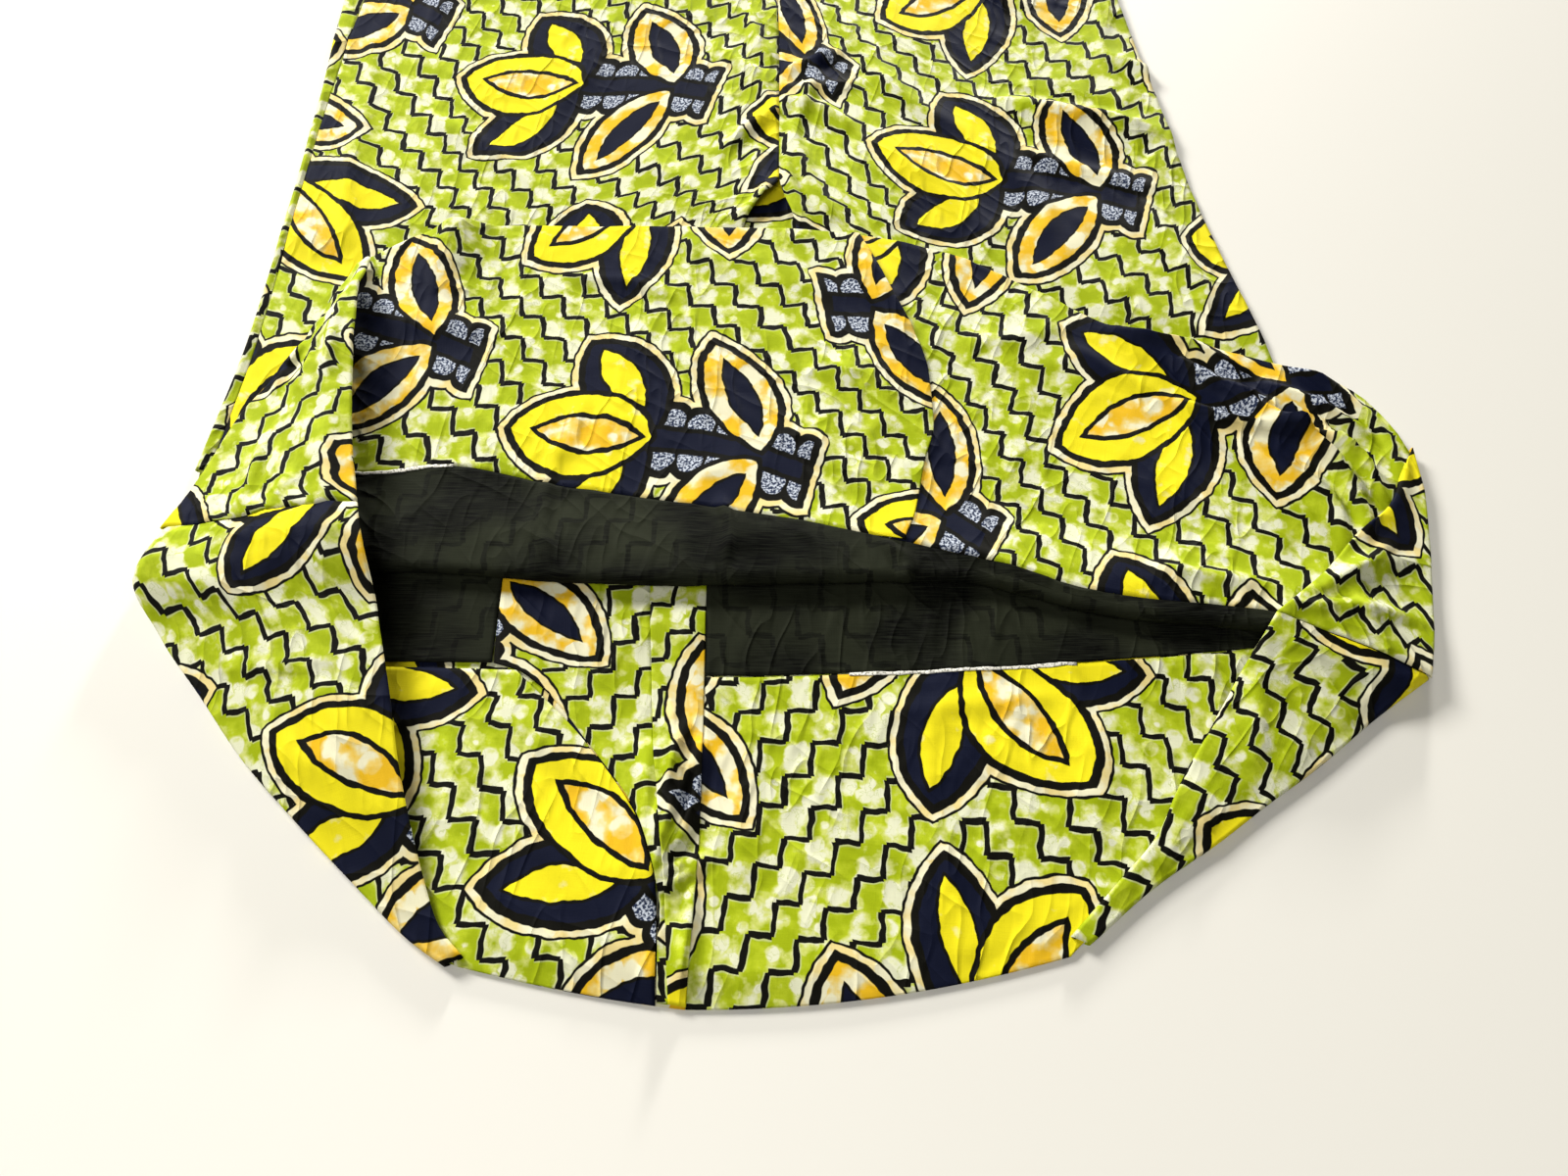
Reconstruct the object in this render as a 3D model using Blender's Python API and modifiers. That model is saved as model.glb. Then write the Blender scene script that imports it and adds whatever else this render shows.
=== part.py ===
"""Ankara wax print dress: a sleeveless shift laid on its front, with its hem opened out and turned up.

The dress is two layers on a table. The front lies with its right side down. The back lies on it, right
side up, and its lower end is folded back over itself, so the wrong side of the hem shows. The hem's two
side corners are turned in over the fold, right side up. Every piece is a wall of cloth, and each one lies
on the next at a height that a function of its place gives.

In the tables x runs across from the centre front seam, y runs from the fold of the back to the neck, and
the wearer's left is at minus x. Everything is in metres.
"""

from collections import namedtuple

import bmesh
import bpy
import numpy as np

# Cloth
WALL = 0.0012  # one wall of cloth, with its seam allowances
GAP = 0.0003  # between pieces
TURN_GAP = 2 * GAP  # between a turned corner, whose end leans, and the wall that it continues
LAYER = WALL + GAP  # from one wall's middle to the next one's

# The origin is under the middle of the dress as it lies.
CENTRE_X, CENTRE_Y = 0.0414, 0.3920

# Heights of the middle of each wall
FRONT_HEIGHT = WALL / 2
BACK_HEIGHT = FRONT_HEIGHT + LAYER
LININGS_RISE = 2 * LAYER  # the back over the two linings at the fold
LININGS_REACH = 0.012  # of the linings past the fold, in under the back
LININGS_EASE = 0.034  # length over which the back comes down from them
FLAP_AIR = 0.0008  # between the flap and the back
FOLD_OPEN = 0.0027  # the flap's extra height at the fold
FOLD_EASE = 0.06  # length over which the flap comes down on the back
CORNER_AIR = 0.0012  # between a turned corner and what it covers
CORNER_EASE = 0.03  # length over which a turned corner comes down off the fold

# The vent in the back, which opens at the end of the centre back seam
VENT_X, VENT_TOP = 0.025, 0.272
VENT_HALF_WIDTH, VENT_EASE = 0.074, 0.03
VENT_HEAD = 0.08  # of the raised back above the vent's top
VENT_LEFT, VENT_RIGHT = 0.012, 0.040  # the panels' edges at the fold, either side of it

# Resolution
ACROSS = np.linspace(0, 1, 9)  # from a panel's centre edge to its side edge
NARROW_ACROSS = np.linspace(0, 1, 5)
ROLL_STEPS = 6  # points round a fold
BODY_ROWS, CORNER_ROWS = 26, 8
TOP_CROWDING = 1.4  # how much closer together the panels' sections are at the neck
NEAR_FOLD = (0.048, 0.030, 0.0135, 0)  # distances of the back's last sections from its fold
MEETING = 2  # the point across the flap's right part where the two facings meet

# On the flap, 0 is the fold, 1 is the lining's edge and 2 is the hem.
LINING_SECTIONS = (0, 0.3, 0.65, 1)
FACING_SECTIONS = (1, 1.12, 1.28, 1.46, 1.64, 1.82, 2)
FACINGS_MEET_AT_FOLD, FACINGS_MEET_AT_HEM = 0.18, 0.26  # the part of the right panel left of their meeting

# A row for each section across a piece: the end at the centre, the end at the side, and how far the
# middle hangs towards the hem.
Section = namedtuple("Section", "x_in y_in x_out y_out bow")
# A row for each section across a turned corner: the fold, the hem edge, and the hem edge's lift.
Corner = namedtuple("Corner", "x_fold y_fold x_hem y_hem lift")
# A row for each place along the left edge: how far the front comes round it to the side seam.
Edge = namedtuple("Edge", "y width")
Mark = namedtuple("Mark", "x y")
CENTRE_END_Y, SIDE_END_Y = slice(1, 2), slice(3, 4)  # columns of a section

FOLD = [
    Mark(-0.295, -0.002),
    Mark(-0.170, 0.008),
    Mark(-0.030, 0.000),
    Mark(0.120, 0.002),
    Mark(0.200, -0.017),
    Mark(0.278, -0.026),
    Mark(0.351, -0.056),
]

LINING_EDGE = [
    Mark(-0.300, 0.064),
    Mark(-0.185, 0.061),
    Mark(-0.143, 0.066),
    Mark(-0.090, 0.055),
    Mark(0.036, 0.032),
    Mark(0.087, 0.020),
    Mark(0.140, 0.007),
    Mark(0.200, -0.012),
    Mark(0.278, -0.021),
    Mark(0.360, -0.050),
]
FLAP_HEM = [
    Mark(-0.210, 0.203),
    Mark(-0.175, 0.225),
    Mark(-0.120, 0.231),
    Mark(0.036, 0.227),
    Mark(0.125, 0.213),
    Mark(0.184, 0.180),
    Mark(0.221, 0.157),
    Mark(0.300, 0.134),
    Mark(0.352, 0.113),
    Mark(0.3725, 0.080),
]

# Shoulder, neck and armhole down to the underarm, for the wearer's right; the left mirrors it.
FRONT_TOP = [
    Section(0.095, 0.990, 0.175, 0.965, 0),
    Section(0.088, 0.950, 0.166, 0.931, 0),
    Section(0.070, 0.915, 0.162, 0.896, 0),
    Section(0.035, 0.893, 0.165, 0.862, 0),
    Section(0.000, 0.887, 0.176, 0.830, 0),
    Section(0.000, 0.835, 0.205, 0.797, 0),
    Section(0.000, 0.775, 0.246, 0.775, 0),
]
BACK_TOP = [
    Section(0.095, 0.990, 0.175, 0.965, 0),
    Section(0.080, 0.962, 0.167, 0.931, 0),
    Section(0.045, 0.946, 0.163, 0.896, 0),
    Section(0.000, 0.941, 0.165, 0.862, 0),
    Section(0.000, 0.900, 0.176, 0.830, 0),
    Section(0.000, 0.850, 0.205, 0.797, 0),
    Section(0.000, 0.775, 0.246, 0.775, 0),
]

# Centre seam to side seam, from the underarm down. The back lies a little to the right of the front.
# Rows of the pieces that share a seam are at the same y.
BACK_LEFT = [
    Section(0.006, 0.690, -0.237, 0.690, 0),
    Section(0.018, 0.600, -0.227, 0.600, 0),
    Section(0.029, 0.500, -0.236, 0.500, 0),
    Section(0.032, 0.435, -0.245, 0.435, 0),
    Section(0.033, 0.344, -0.253, 0.344, 0),
    Section(0.033, 0.272, -0.257, 0.272, 0),
    Section(0.012, 0.232, -0.259, 0.228, 0),
    Section(0.012, 0.150, -0.263, 0.150, 0),
    Section(0.012, 0.066, -0.272, 0.066, 0),
]
BACK_RIGHT = [
    Section(0.006, 0.690, 0.241, 0.690, 0),
    Section(0.018, 0.600, 0.236, 0.600, 0),
    Section(0.029, 0.500, 0.247, 0.500, 0),
    Section(0.032, 0.435, 0.258, 0.435, 0),
    Section(0.033, 0.344, 0.272, 0.344, 0),
    Section(0.033, 0.272, 0.282, 0.272, 0),
    Section(0.043, 0.232, 0.290, 0.228, 0),
    Section(0.040, 0.150, 0.308, 0.150, 0),
    Section(0.040, 0.066, 0.326, 0.066, 0),
]
LEFT_AT_FOLD, RIGHT_AT_FOLD = -0.274, 0.336  # where the back's side edges meet the fold
FRONT_LEFT = [
    Section(0.000, 0.690, -0.241, 0.690, 0),
    Section(0.000, 0.600, -0.236, 0.600, 0),
    Section(0.000, 0.500, -0.247, 0.500, 0),
    Section(0.000, 0.435, -0.258, 0.435, 0),
    Section(0.000, 0.344, -0.259, 0.344, 0),
    Section(0.000, 0.272, -0.260, 0.272, 0),
    Section(0.000, 0.228, -0.263, 0.228, 0),
    Section(0.000, 0.150, -0.268, 0.150, 0),
    Section(-0.002, 0.066, -0.280, 0.066, 0),
]
FRONT_RIGHT = [
    Section(0.000, 0.600, 0.236, 0.600, 0),
    Section(0.000, 0.435, 0.258, 0.435, 0),
    Section(0.000, 0.272, 0.282, 0.272, 0),
    Section(0.000, 0.131, 0.311, 0.131, 0),
    Section(-0.002, 0.020, 0.338, 0.010, 0),
]

# How far the front comes round the left edge
LEFT_EDGE = [
    Edge(0.700, 0.004),
    Edge(0.600, 0.009),
    Edge(0.435, 0.013),
    Edge(0.344, 0.006),
    Edge(0.272, 0.004),
    Edge(0.150, 0.005),
    Edge(0.066, 0.007),
]
EDGE_RISE = 0.0011  # of that edge over the back beside it

# Turned corners, each from the side seam out to where the hem leaves it
BACK_LEFT_CORNER = [
    Corner(-0.2845, 0.026, -0.180, 0.032, 0.016),
    Corner(-0.2715, 0.062, -0.189, 0.068, 0.020),
    Corner(-0.2600, 0.096, -0.195, 0.105, 0.020),
    Corner(-0.2390, 0.131, -0.199, 0.138, 0.015),
    Corner(-0.2235, 0.166, -0.203, 0.172, 0.008),
    Corner(-0.2120, 0.200, -0.205, 0.203, 0.001),
]
FRONT_LEFT_CORNER = [
    Corner(-0.2845, 0.026, -0.180, 0.032, 0.016),
    Corner(-0.2920, -0.002, -0.170, -0.002, 0.013),
    Corner(-0.2760, -0.030, -0.161, -0.036, 0.011),
    Corner(-0.2490, -0.062, -0.152, -0.068, 0.009),
    Corner(-0.2220, -0.094, -0.145, -0.098, 0.007),
    Corner(-0.1930, -0.122, -0.137, -0.125, 0.005),
    Corner(-0.1610, -0.151, -0.129, -0.149, 0.003),
    Corner(-0.1310, -0.177, -0.119, -0.172, 0.001),
    Corner(-0.1140, -0.188, -0.107, -0.185, 0.0),
]
BACK_RIGHT_CORNER = [
    Corner(0.3500, -0.055, 0.279, -0.024, 0.002),
    Corner(0.3590, -0.030, 0.292, -0.014, 0.003),
    Corner(0.3655, -0.002, 0.310, 0.001, 0.004),
    Corner(0.3705, 0.026, 0.329, 0.021, 0.005),
    Corner(0.3740, 0.055, 0.352, 0.041, 0.004),
    Corner(0.3735, 0.078, 0.366, 0.066, 0.001),
]
FRONT_RIGHT_CORNER = [
    Corner(0.3500, -0.055, 0.279, -0.024, 0.002),
    Corner(0.3230, -0.073, 0.260, -0.052, 0.004),
    Corner(0.2880, -0.099, 0.240, -0.082, 0.004),
    Corner(0.2620, -0.116, 0.224, -0.105, 0.003),
    Corner(0.2360, -0.134, 0.209, -0.131, 0.002),
    Corner(0.2040, -0.154, 0.190, -0.151, 0.001),
    Corner(0.1720, -0.179, 0.165, -0.176, 0.0),
]

# The front's centre seam beside its two corners; the side ends come from the corners' folds.
FRONT_LEFT_HEM = [
    Section(-0.002, 0.026, 0, 0, 0),
    Section(-0.003, -0.100, 0, 0, 0),
    Section(-0.007, -0.206, 0, 0, 0.002),
]
FRONT_RIGHT_HEM = [
    Section(-0.002, -0.030, 0, 0, 0),
    Section(-0.003, -0.120, 0, 0, 0),
    Section(-0.007, -0.206, 0, 0, 0.006),
]
# Facings and linings on the front: the left end, the right end, and how far the middle hangs to the hem
FRONT_FACING_LEFT = [
    Section(-0.185, -0.0465, -0.0960, -0.0485, 0),
    Section(-0.172, -0.0860, -0.0582, -0.0865, 0),
    Section(-0.156, -0.1250, -0.0300, -0.1275, 0),
    Section(-0.134, -0.1600, -0.0215, -0.1600, 0),
    Section(-0.110, -0.1870, -0.0204, -0.2035, 0.001),
]
FRONT_VENT_FACING = [
    Section(-0.1080, 0.012, -0.0330, 0.012, 0),
    Section(-0.1080, -0.020, -0.0310, -0.020, 0),
    Section(-0.1075, -0.0450, -0.0290, -0.048, 0),
    Section(-0.0952, -0.0482, -0.0288, -0.052, 0),
    Section(-0.0573, -0.0865, -0.0260, -0.090, 0),
    Section(-0.0291, -0.1275, -0.0204, -0.130, 0),
    Section(-0.0207, -0.1600, -0.0175, -0.160, 0),
    Section(-0.0196, -0.2035, -0.0143, -0.204, 0),
]
FRONT_VENT_UNDERLAP = [
    Section(-0.0326, 0.012, -0.0043, 0.012, 0),
    Section(-0.0306, -0.020, -0.0040, -0.020, 0),
    Section(-0.0286, -0.048, -0.0037, -0.048, 0),
    Section(-0.0284, -0.052, -0.0037, -0.052, 0),
    Section(-0.0256, -0.090, -0.0035, -0.090, 0),
    Section(-0.0200, -0.130, -0.0038, -0.130, 0),
    Section(-0.0171, -0.160, -0.0050, -0.160, 0),
    Section(-0.0139, -0.204, -0.0074, -0.205, 0),
]
FRONT_FACING_RIGHT = [
    Section(-0.0032, -0.0528, 0.272, -0.0330, 0.004),
    Section(-0.0030, -0.0900, 0.258, -0.0780, 0),
    Section(-0.0033, -0.1300, 0.226, -0.1200, 0),
    Section(-0.0045, -0.1600, 0.200, -0.1500, 0),
    Section(-0.0069, -0.2050, 0.164, -0.1830, 0.006),
]
FRONT_LINING_LEFT = [
    Section(-0.200, 0.012, -0.1085, 0.012, 0),
    Section(-0.194, -0.020, -0.1085, -0.020, 0),
    Section(-0.188, -0.0440, -0.1085, -0.0445, 0),
]
FRONT_LINING_RIGHT = [
    Section(-0.0038, 0.012, 0.262, -0.0125, -0.006),
    Section(-0.0035, -0.020, 0.266, -0.0240, 0.002),
    Section(-0.0032, -0.0520, 0.272, -0.0322, 0.004),
]
VENT_UNDERLAY = [
    Section(-0.014, 0.288, 0.064, 0.288, 0),
    Section(-0.014, 0.180, 0.064, 0.180, 0),
    Section(-0.014, 0.060, 0.064, 0.060, 0),
]

# Colours of the cloth: the print's ground, its wrong side, and the lining
PRINT = (0.40, 0.58, 0.02, 1)
FACING = (0.46, 0.62, 0.05, 1)
LINING = (0.012, 0.013, 0.011, 1)
COTTON_ROUGHNESS = 0.8


def smooth(table, count, along=slice(None), crowding=1):
    """That many rows on a smooth curve through the table's rows, which never swings past them.

    Those columns of the table measure the rows' distances: even ones, or closer at the start.
    """
    rows = np.array(table, float)
    steps = np.linalg.norm(np.diff(rows[:, along], axis=0), axis=1)
    reach = np.concatenate([[0], np.cumsum(steps)])
    rise = np.diff(rows, axis=0) / steps[:, None]
    product, total = rise[:-1] * rise[1:], rise[:-1] + rise[1:]
    middle = np.divide(2 * product, total, out=np.zeros_like(product), where=product > 0)
    slope = np.vstack([rise[:1], middle, rise[-1:]])
    at = reach[-1] * np.linspace(0, 1, count) ** crowding
    k = np.clip(np.searchsorted(reach, at, side="right") - 1, 0, len(rows) - 2)
    span = steps[k][:, None]
    t = (at - reach[k])[:, None] / span
    first = (1 + 2 * t) * (1 - t) ** 2 * rows[k] + t * (1 - t) ** 2 * span * slope[k]
    second = t**2 * (3 - 2 * t) * rows[k + 1] - t**2 * (1 - t) * span * slope[k + 1]
    return first + second


def ease(t):
    """0 below 0 and 1 above 1, with a smooth rise between."""
    t = np.clip(t, 0, 1)
    return t * t * (3 - 2 * t)


FOLD_CURVE, LINING_CURVE, HEM_CURVE = (smooth(table, 60) for table in (FOLD, LINING_EDGE, FLAP_HEM))


def line_y(curve, x):
    """The y of one of the flap's three lines at x."""
    return np.interp(x, curve[:, 0], curve[:, 1])


def above_fold(x, y):
    return y - line_y(FOLD_CURVE, x)


def back_height(x, y):
    """The back's middle: flat on the front, raised over the linings at the fold and over the underlay."""
    past_linings = (above_fold(x, y) - LININGS_REACH - WALL) / LININGS_EASE
    beside = (VENT_HALF_WIDTH + VENT_EASE - np.abs(x - VENT_X)) / VENT_EASE
    over = (VENT_TOP + VENT_HEAD + VENT_EASE - y) / VENT_EASE
    return BACK_HEIGHT + LININGS_RISE * (1 - ease(past_linings)) + LAYER * ease(beside) * ease(over)


def flap_height(x, y):
    """The flap's middle: on the back, and higher towards the fold."""
    return back_height(x, y) + LAYER + FLAP_AIR + FOLD_OPEN * (1 - ease(above_fold(x, y) / FOLD_EASE))


def corner_height(x, y):
    """A turned corner's middle, over the flap and its facing, and below the fold over the front's."""
    below = np.minimum(above_fold(x, y), 0)
    step = (flap_height(x, y) - FRONT_HEIGHT) * ease(1 + below / CORNER_EASE)
    return FRONT_HEIGHT + step + 2 * LAYER + CORNER_AIR


def front_height(x, _y):
    return np.full_like(x, FRONT_HEIGHT)


def grid(x, y, z):
    return np.stack(np.broadcast_arrays(x, y, z), axis=-1)


def across(rows, parts=ACROSS):
    """Points at those parts of each section, as arrays of x and y with a row for each section."""
    x_in, y_in, x_out, y_out, bow = (column[:, None] for column in np.asarray(rows, float).T)
    return x_in + (x_out - x_in) * parts, y_in + (y_out - y_in) * parts - bow * 4 * parts * (1 - parts)


def mirrored(table):
    return [row._replace(x_in=-row.x_in, x_out=-row.x_out) for row in table]


def body_rows(table, side):
    """A panel's sections from the shoulder down, with their centre ends half a gap off the seam."""
    rows = smooth(table, BODY_ROWS, SIDE_END_Y, TOP_CROWDING)
    rows[:, 0] += side * GAP / 2
    return rows


def corner_grid(table, start_height):
    """A turned corner: from the wall that it continues, round its fold, and across to the hem edge."""
    rows = smooth(table, CORNER_ROWS)
    fold, hem, lift = rows[:, :2], rows[:, 2:4], rows[:, 4:]
    seam = hem[0] - fold[0]
    off_seam = np.array([-seam[1], seam[0]]) / np.linalg.norm(seam)
    off_seam *= np.sign(off_seam @ (hem[1] - hem[0])) * GAP / 2
    fold[0] += off_seam
    hem[0] += off_seam
    width = np.linalg.norm(hem - fold, axis=1)[:, None]
    inward = (hem - fold) / width

    start = start_height(*fold.T)[:, None]
    radius = (corner_height(*(fold + inward * LAYER).T)[:, None] - start) / 2
    angle = np.linspace(-np.pi / 2, np.pi / 2, ROLL_STEPS)
    part = np.linspace(0, 1, len(NARROW_ACROSS))
    reach = np.hstack([radius * (1 - np.cos(angle)), radius + (width - radius) * part[1:]])
    x, y = fold[:, :1] + inward[:, :1] * reach, fold[:, 1:] + inward[:, 1:] * reach
    settled = corner_height(x[:, ROLL_STEPS - 1 :], y[:, ROLL_STEPS - 1 :])
    top = settled + (start + 2 * radius - settled[:, :1]) * (1 - part) + lift * part**2
    return grid(x, y, np.hstack([start + radius * (1 + np.sin(angle)), top[:, 1:]]))


def beside(corner):
    """The edge of the wall that a corner continues: short of the corner, with a point a section."""
    foot, far = corner[:, 0, :2], corner[:, -1, :2]
    return foot + (far - foot) / np.linalg.norm(far - foot, axis=1)[:, None] * TURN_GAP


def lying_rows(top, table, side, at_fold):
    """The back's sections as it lies, the last ones at even distances from the fold, as x and y."""
    rows = body_rows(top + table, side)
    x, y = across(rows)
    vent, edge = at_fold[0], at_fold[-1]
    start = above_fold(*rows[-1, 2:4])
    edge_x = edge + (rows[-1, 2] - edge) * np.array(NEAR_FOLD)[:, None] / start
    near_x = vent + (edge_x - vent) * (at_fold - vent) / (edge - vent)
    near_y = line_y(FOLD_CURVE, near_x) + np.array(NEAR_FOLD)[:, None]
    return np.vstack([x, near_x]), np.vstack([y, near_y])


def flap_rows(vent_x, side_at_fold, corner, sections, meeting=False):
    """The flap's sections from the vent to the side, as x and y, at those places from fold to hem.

    The side edge follows the corner that continues the flap. With meeting, the sections are spaced to
    have a point where the two facings meet.
    """
    edge = np.vstack([[side_at_fold, line_y(FOLD_CURVE, side_at_fold)], beside(corner)])
    fold, lining, hem = (line_y(curve, edge[:, 0]) for curve in (FOLD_CURVE, LINING_CURVE, HEM_CURVE))
    below, above = (edge[:, 1] - fold) / (lining - fold), (edge[:, 1] - lining) / (hem - lining)
    place = np.maximum.accumulate(np.where(below < 1, below, 1 + above))
    at = np.array(sections, float)[:, None]
    side_x = np.interp(at, place, edge[:, 0])
    parts = np.broadcast_to(ACROSS, (len(at), len(ACROSS)))
    if meeting:
        split = FACINGS_MEET_AT_FOLD + (FACINGS_MEET_AT_HEM - FACINGS_MEET_AT_FOLD) * at / 2
        near, far = np.linspace(0, 1, MEETING + 1), np.linspace(0, 1, len(ACROSS) - MEETING)[1:]
        parts = np.hstack([split * near, split + (1 - split) * far])
    x = vent_x + (side_x - vent_x) * parts
    fold, lining, hem = (line_y(curve, x) for curve in (FOLD_CURVE, LINING_CURVE, HEM_CURVE))
    y = np.where(at < 1, fold + (lining - fold) * at, lining + (hem - lining) * (at - 1))
    y[:, -1] = np.where(at[:, 0] > 0, np.interp(at[:, 0], place, edge[:, 1]), y[:, -1])
    return x, y


def round_fold(x, y, out):
    """The rows round the back's fold, on its wrong side by out, from under to over."""
    low, high = back_height(x, y) - out, flap_height(x, y) + out
    angle = np.linspace(-np.pi / 2, np.pi / 2, ROLL_STEPS)[1:-1, None]
    middle, radius = (high + low) / 2, (high - low) / 2
    return grid(x, y - radius * np.cos(angle), middle + radius * np.sin(angle))


def back_panel(lying, flap):
    """A back panel: down to the fold, round it, and back up over itself to the hem."""
    return np.vstack([
        grid(*lying, back_height(*lying)),
        round_fold(flap[0][0], flap[1][0], 0),
        grid(*flap, flap_height(*flap)),
    ])


def hem_rows(table, side, corner):
    """The front's sections beside a turned corner, whose side ends are where that corner starts."""
    rows = smooth(table, CORNER_ROWS, CENTRE_END_Y)
    rows[:, 0] += side * GAP / 2
    rows[:, 2:4] = beside(corner)
    return rows


def front_left_grids(back_left, corner):
    """The front left panel: flat from the shoulder to the hem, and round the left edge to the side seam."""
    upper = body_rows(mirrored(FRONT_TOP) + FRONT_LEFT, -1)
    edge = np.array(LEFT_EDGE)[::-1]
    turned = upper[:, 3] < edge[-1, 0]
    y = upper[turned, 3]
    seam = back_left[0][:BODY_ROWS, -1][turned] - GAP
    seam_height = back_height(seam, y)
    radius = (seam_height + EDGE_RISE - FRONT_HEIGHT) / 2
    upper[turned, 2] = seam - np.interp(y, edge[:, 0], edge[:, 1]) + radius
    x, y_all = across(np.vstack([upper, hem_rows(FRONT_LEFT_HEM, -1, corner)]))

    angle = np.linspace(-np.pi / 2, np.pi / 2, ROLL_STEPS)
    roll_x = upper[turned, 2:3] - radius[:, None] * np.cos(angle)
    roll_z = FRONT_HEIGHT + radius[:, None] * (1 + np.sin(angle))
    edge_x, edge_z = np.hstack([roll_x, seam[:, None]]), np.hstack([roll_z, seam_height[:, None]])
    return [grid(x, y_all, FRONT_HEIGHT), grid(edge_x, y[:, None], edge_z)]


def front_right_grid(corner):
    """The front right panel: flat from the shoulder to the hem."""
    upper = body_rows(FRONT_TOP + FRONT_RIGHT, 1)
    x, y = across(np.vstack([upper, hem_rows(FRONT_RIGHT_HEM, 1, corner)]))
    return grid(x, y, FRONT_HEIGHT)


def on_front(table, parts=ACROSS):
    """A facing, lining or underlay that lies on the front: on its points, moved up by a layer."""
    x, y = across(table, parts)
    return grid(x, y, FRONT_HEIGHT + LAYER)


def whole_flap(left, right):
    """The flap's sections from its left end to its right end."""
    return tuple(np.hstack([l[:, ::-1], r]) for l, r in zip(left, right))


def back_facing(flap, columns, shift):
    """A hem facing on the flap: on those columns of the flap's points, moved out."""
    x, y = (part[:, columns].copy() for part in flap)
    end = 0 if shift > 0 else -1
    x[:, end] += shift
    return grid(x, y, flap_height(x, y) + LAYER)


def back_lining(flap):
    """The back lining: on the flap, round the outside of the fold, and just in under the back."""
    x, y = (part[::-1].copy() for part in flap)
    y[0] -= GAP
    fold_x, fold_y = x[-1:], y[-1:]
    under = grid(fold_x, fold_y + LININGS_REACH, back_height(fold_x, fold_y + LININGS_REACH) - LAYER)
    return np.vstack([
        grid(x, y, flap_height(x, y) + LAYER),
        round_fold(x[-1], y[-1], LAYER)[::-1],
        grid(fold_x, fold_y, back_height(fold_x, fold_y) - LAYER),
        under,
    ])


def cotton(name, colour):
    material = bpy.data.materials.new(name)
    material.use_nodes = True
    shader = material.node_tree.nodes["Principled BSDF"]
    shader.inputs["Base Color"].default_value = colour
    shader.inputs["Roughness"].default_value = COTTON_ROUGHNESS
    return material


def wall(collection, name, grids, colour):
    """One piece of cloth: the grids joined where they meet, thickened to a wall."""
    shell = bmesh.new()
    for points in grids:
        placed = points - (CENTRE_X, CENTRE_Y, 0)
        corners = [[shell.verts.new(point) for point in row] for row in placed]
        for row, next_row in zip(corners, corners[1:]):
            for quad in zip(row, next_row, next_row[1:], row[1:]):
                shell.faces.new(quad)
    bmesh.ops.remove_doubles(shell, verts=shell.verts, dist=GAP / 10)
    bmesh.ops.triangulate(shell, faces=shell.faces, quad_method="SHORT_EDGE")
    bmesh.ops.recalc_face_normals(shell, faces=shell.faces)
    mesh = bpy.data.meshes.new(name)
    shell.to_mesh(mesh)
    shell.free()
    mesh.materials.append(cotton(name, colour))
    piece = bpy.data.objects.new(name, mesh)
    collection.objects.link(piece)
    thickness = piece.modifiers.new("Wall", "SOLIDIFY")
    thickness.thickness = WALL
    thickness.offset = 0
    thickness.use_even_offset = True


def main():
    for item in list(bpy.data.objects):
        bpy.data.objects.remove(item)
    dress = bpy.data.collections.new("Ankara dress")
    bpy.context.scene.collection.children.link(dress)

    back_left_corner = corner_grid(BACK_LEFT_CORNER, flap_height)
    back_right_corner = corner_grid(BACK_RIGHT_CORNER, flap_height)
    front_left_corner = corner_grid(FRONT_LEFT_CORNER, front_height)
    front_right_corner = corner_grid(FRONT_RIGHT_CORNER, front_height)
    wall(dress, "back_left_turned", [back_left_corner], PRINT)
    wall(dress, "back_right_turned", [back_right_corner], PRINT)
    wall(dress, "front_left_turned", [front_left_corner], PRINT)
    wall(dress, "front_right_turned", [front_right_corner], PRINT)

    sections = LINING_SECTIONS + FACING_SECTIONS[1:]
    left_flap = flap_rows(VENT_LEFT, LEFT_AT_FOLD, back_left_corner, sections)
    right_flap = flap_rows(VENT_RIGHT, RIGHT_AT_FOLD, back_right_corner, sections, meeting=True)
    left = lying_rows(mirrored(BACK_TOP), BACK_LEFT, -1, left_flap[0][0])
    right = lying_rows(BACK_TOP, BACK_RIGHT, 1, right_flap[0][0])
    wall(dress, "back_left", [back_panel(left, left_flap)], PRINT)
    wall(dress, "back_right", [back_panel(right, right_flap)], PRINT)
    wall(dress, "front_left", front_left_grids(left, front_left_corner), PRINT)
    wall(dress, "front_right", [front_right_grid(front_right_corner)], PRINT)

    flap = whole_flap(left_flap, right_flap)
    faced = tuple(part[len(LINING_SECTIONS) - 1 :] for part in flap)
    lined = tuple(part[: len(LINING_SECTIONS)] for part in flap)
    meeting = len(ACROSS) + MEETING
    wall(dress, "back_facing_left", [back_facing(faced, slice(0, meeting + 1), -GAP / 2)], FACING)
    wall(dress, "back_facing_right", [back_facing(faced, slice(meeting, None), GAP / 2)], FACING)
    wall(dress, "back_lining", [back_lining(lined)], LINING)
    wall(dress, "back_vent_underlay", [on_front(VENT_UNDERLAY, NARROW_ACROSS)], FACING)

    wall(dress, "front_facing_left", [on_front(FRONT_FACING_LEFT)], FACING)
    wall(dress, "front_facing_right", [on_front(FRONT_FACING_RIGHT)], FACING)
    wall(dress, "front_vent_facing", [on_front(FRONT_VENT_FACING, NARROW_ACROSS)], FACING)
    wall(dress, "front_vent_underlap", [on_front(FRONT_VENT_UNDERLAP, NARROW_ACROSS)], FACING)
    wall(dress, "front_lining_left", [on_front(FRONT_LINING_LEFT, NARROW_ACROSS)], LINING)
    wall(dress, "front_lining_right", [on_front(FRONT_LINING_RIGHT)], LINING)


main()
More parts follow.
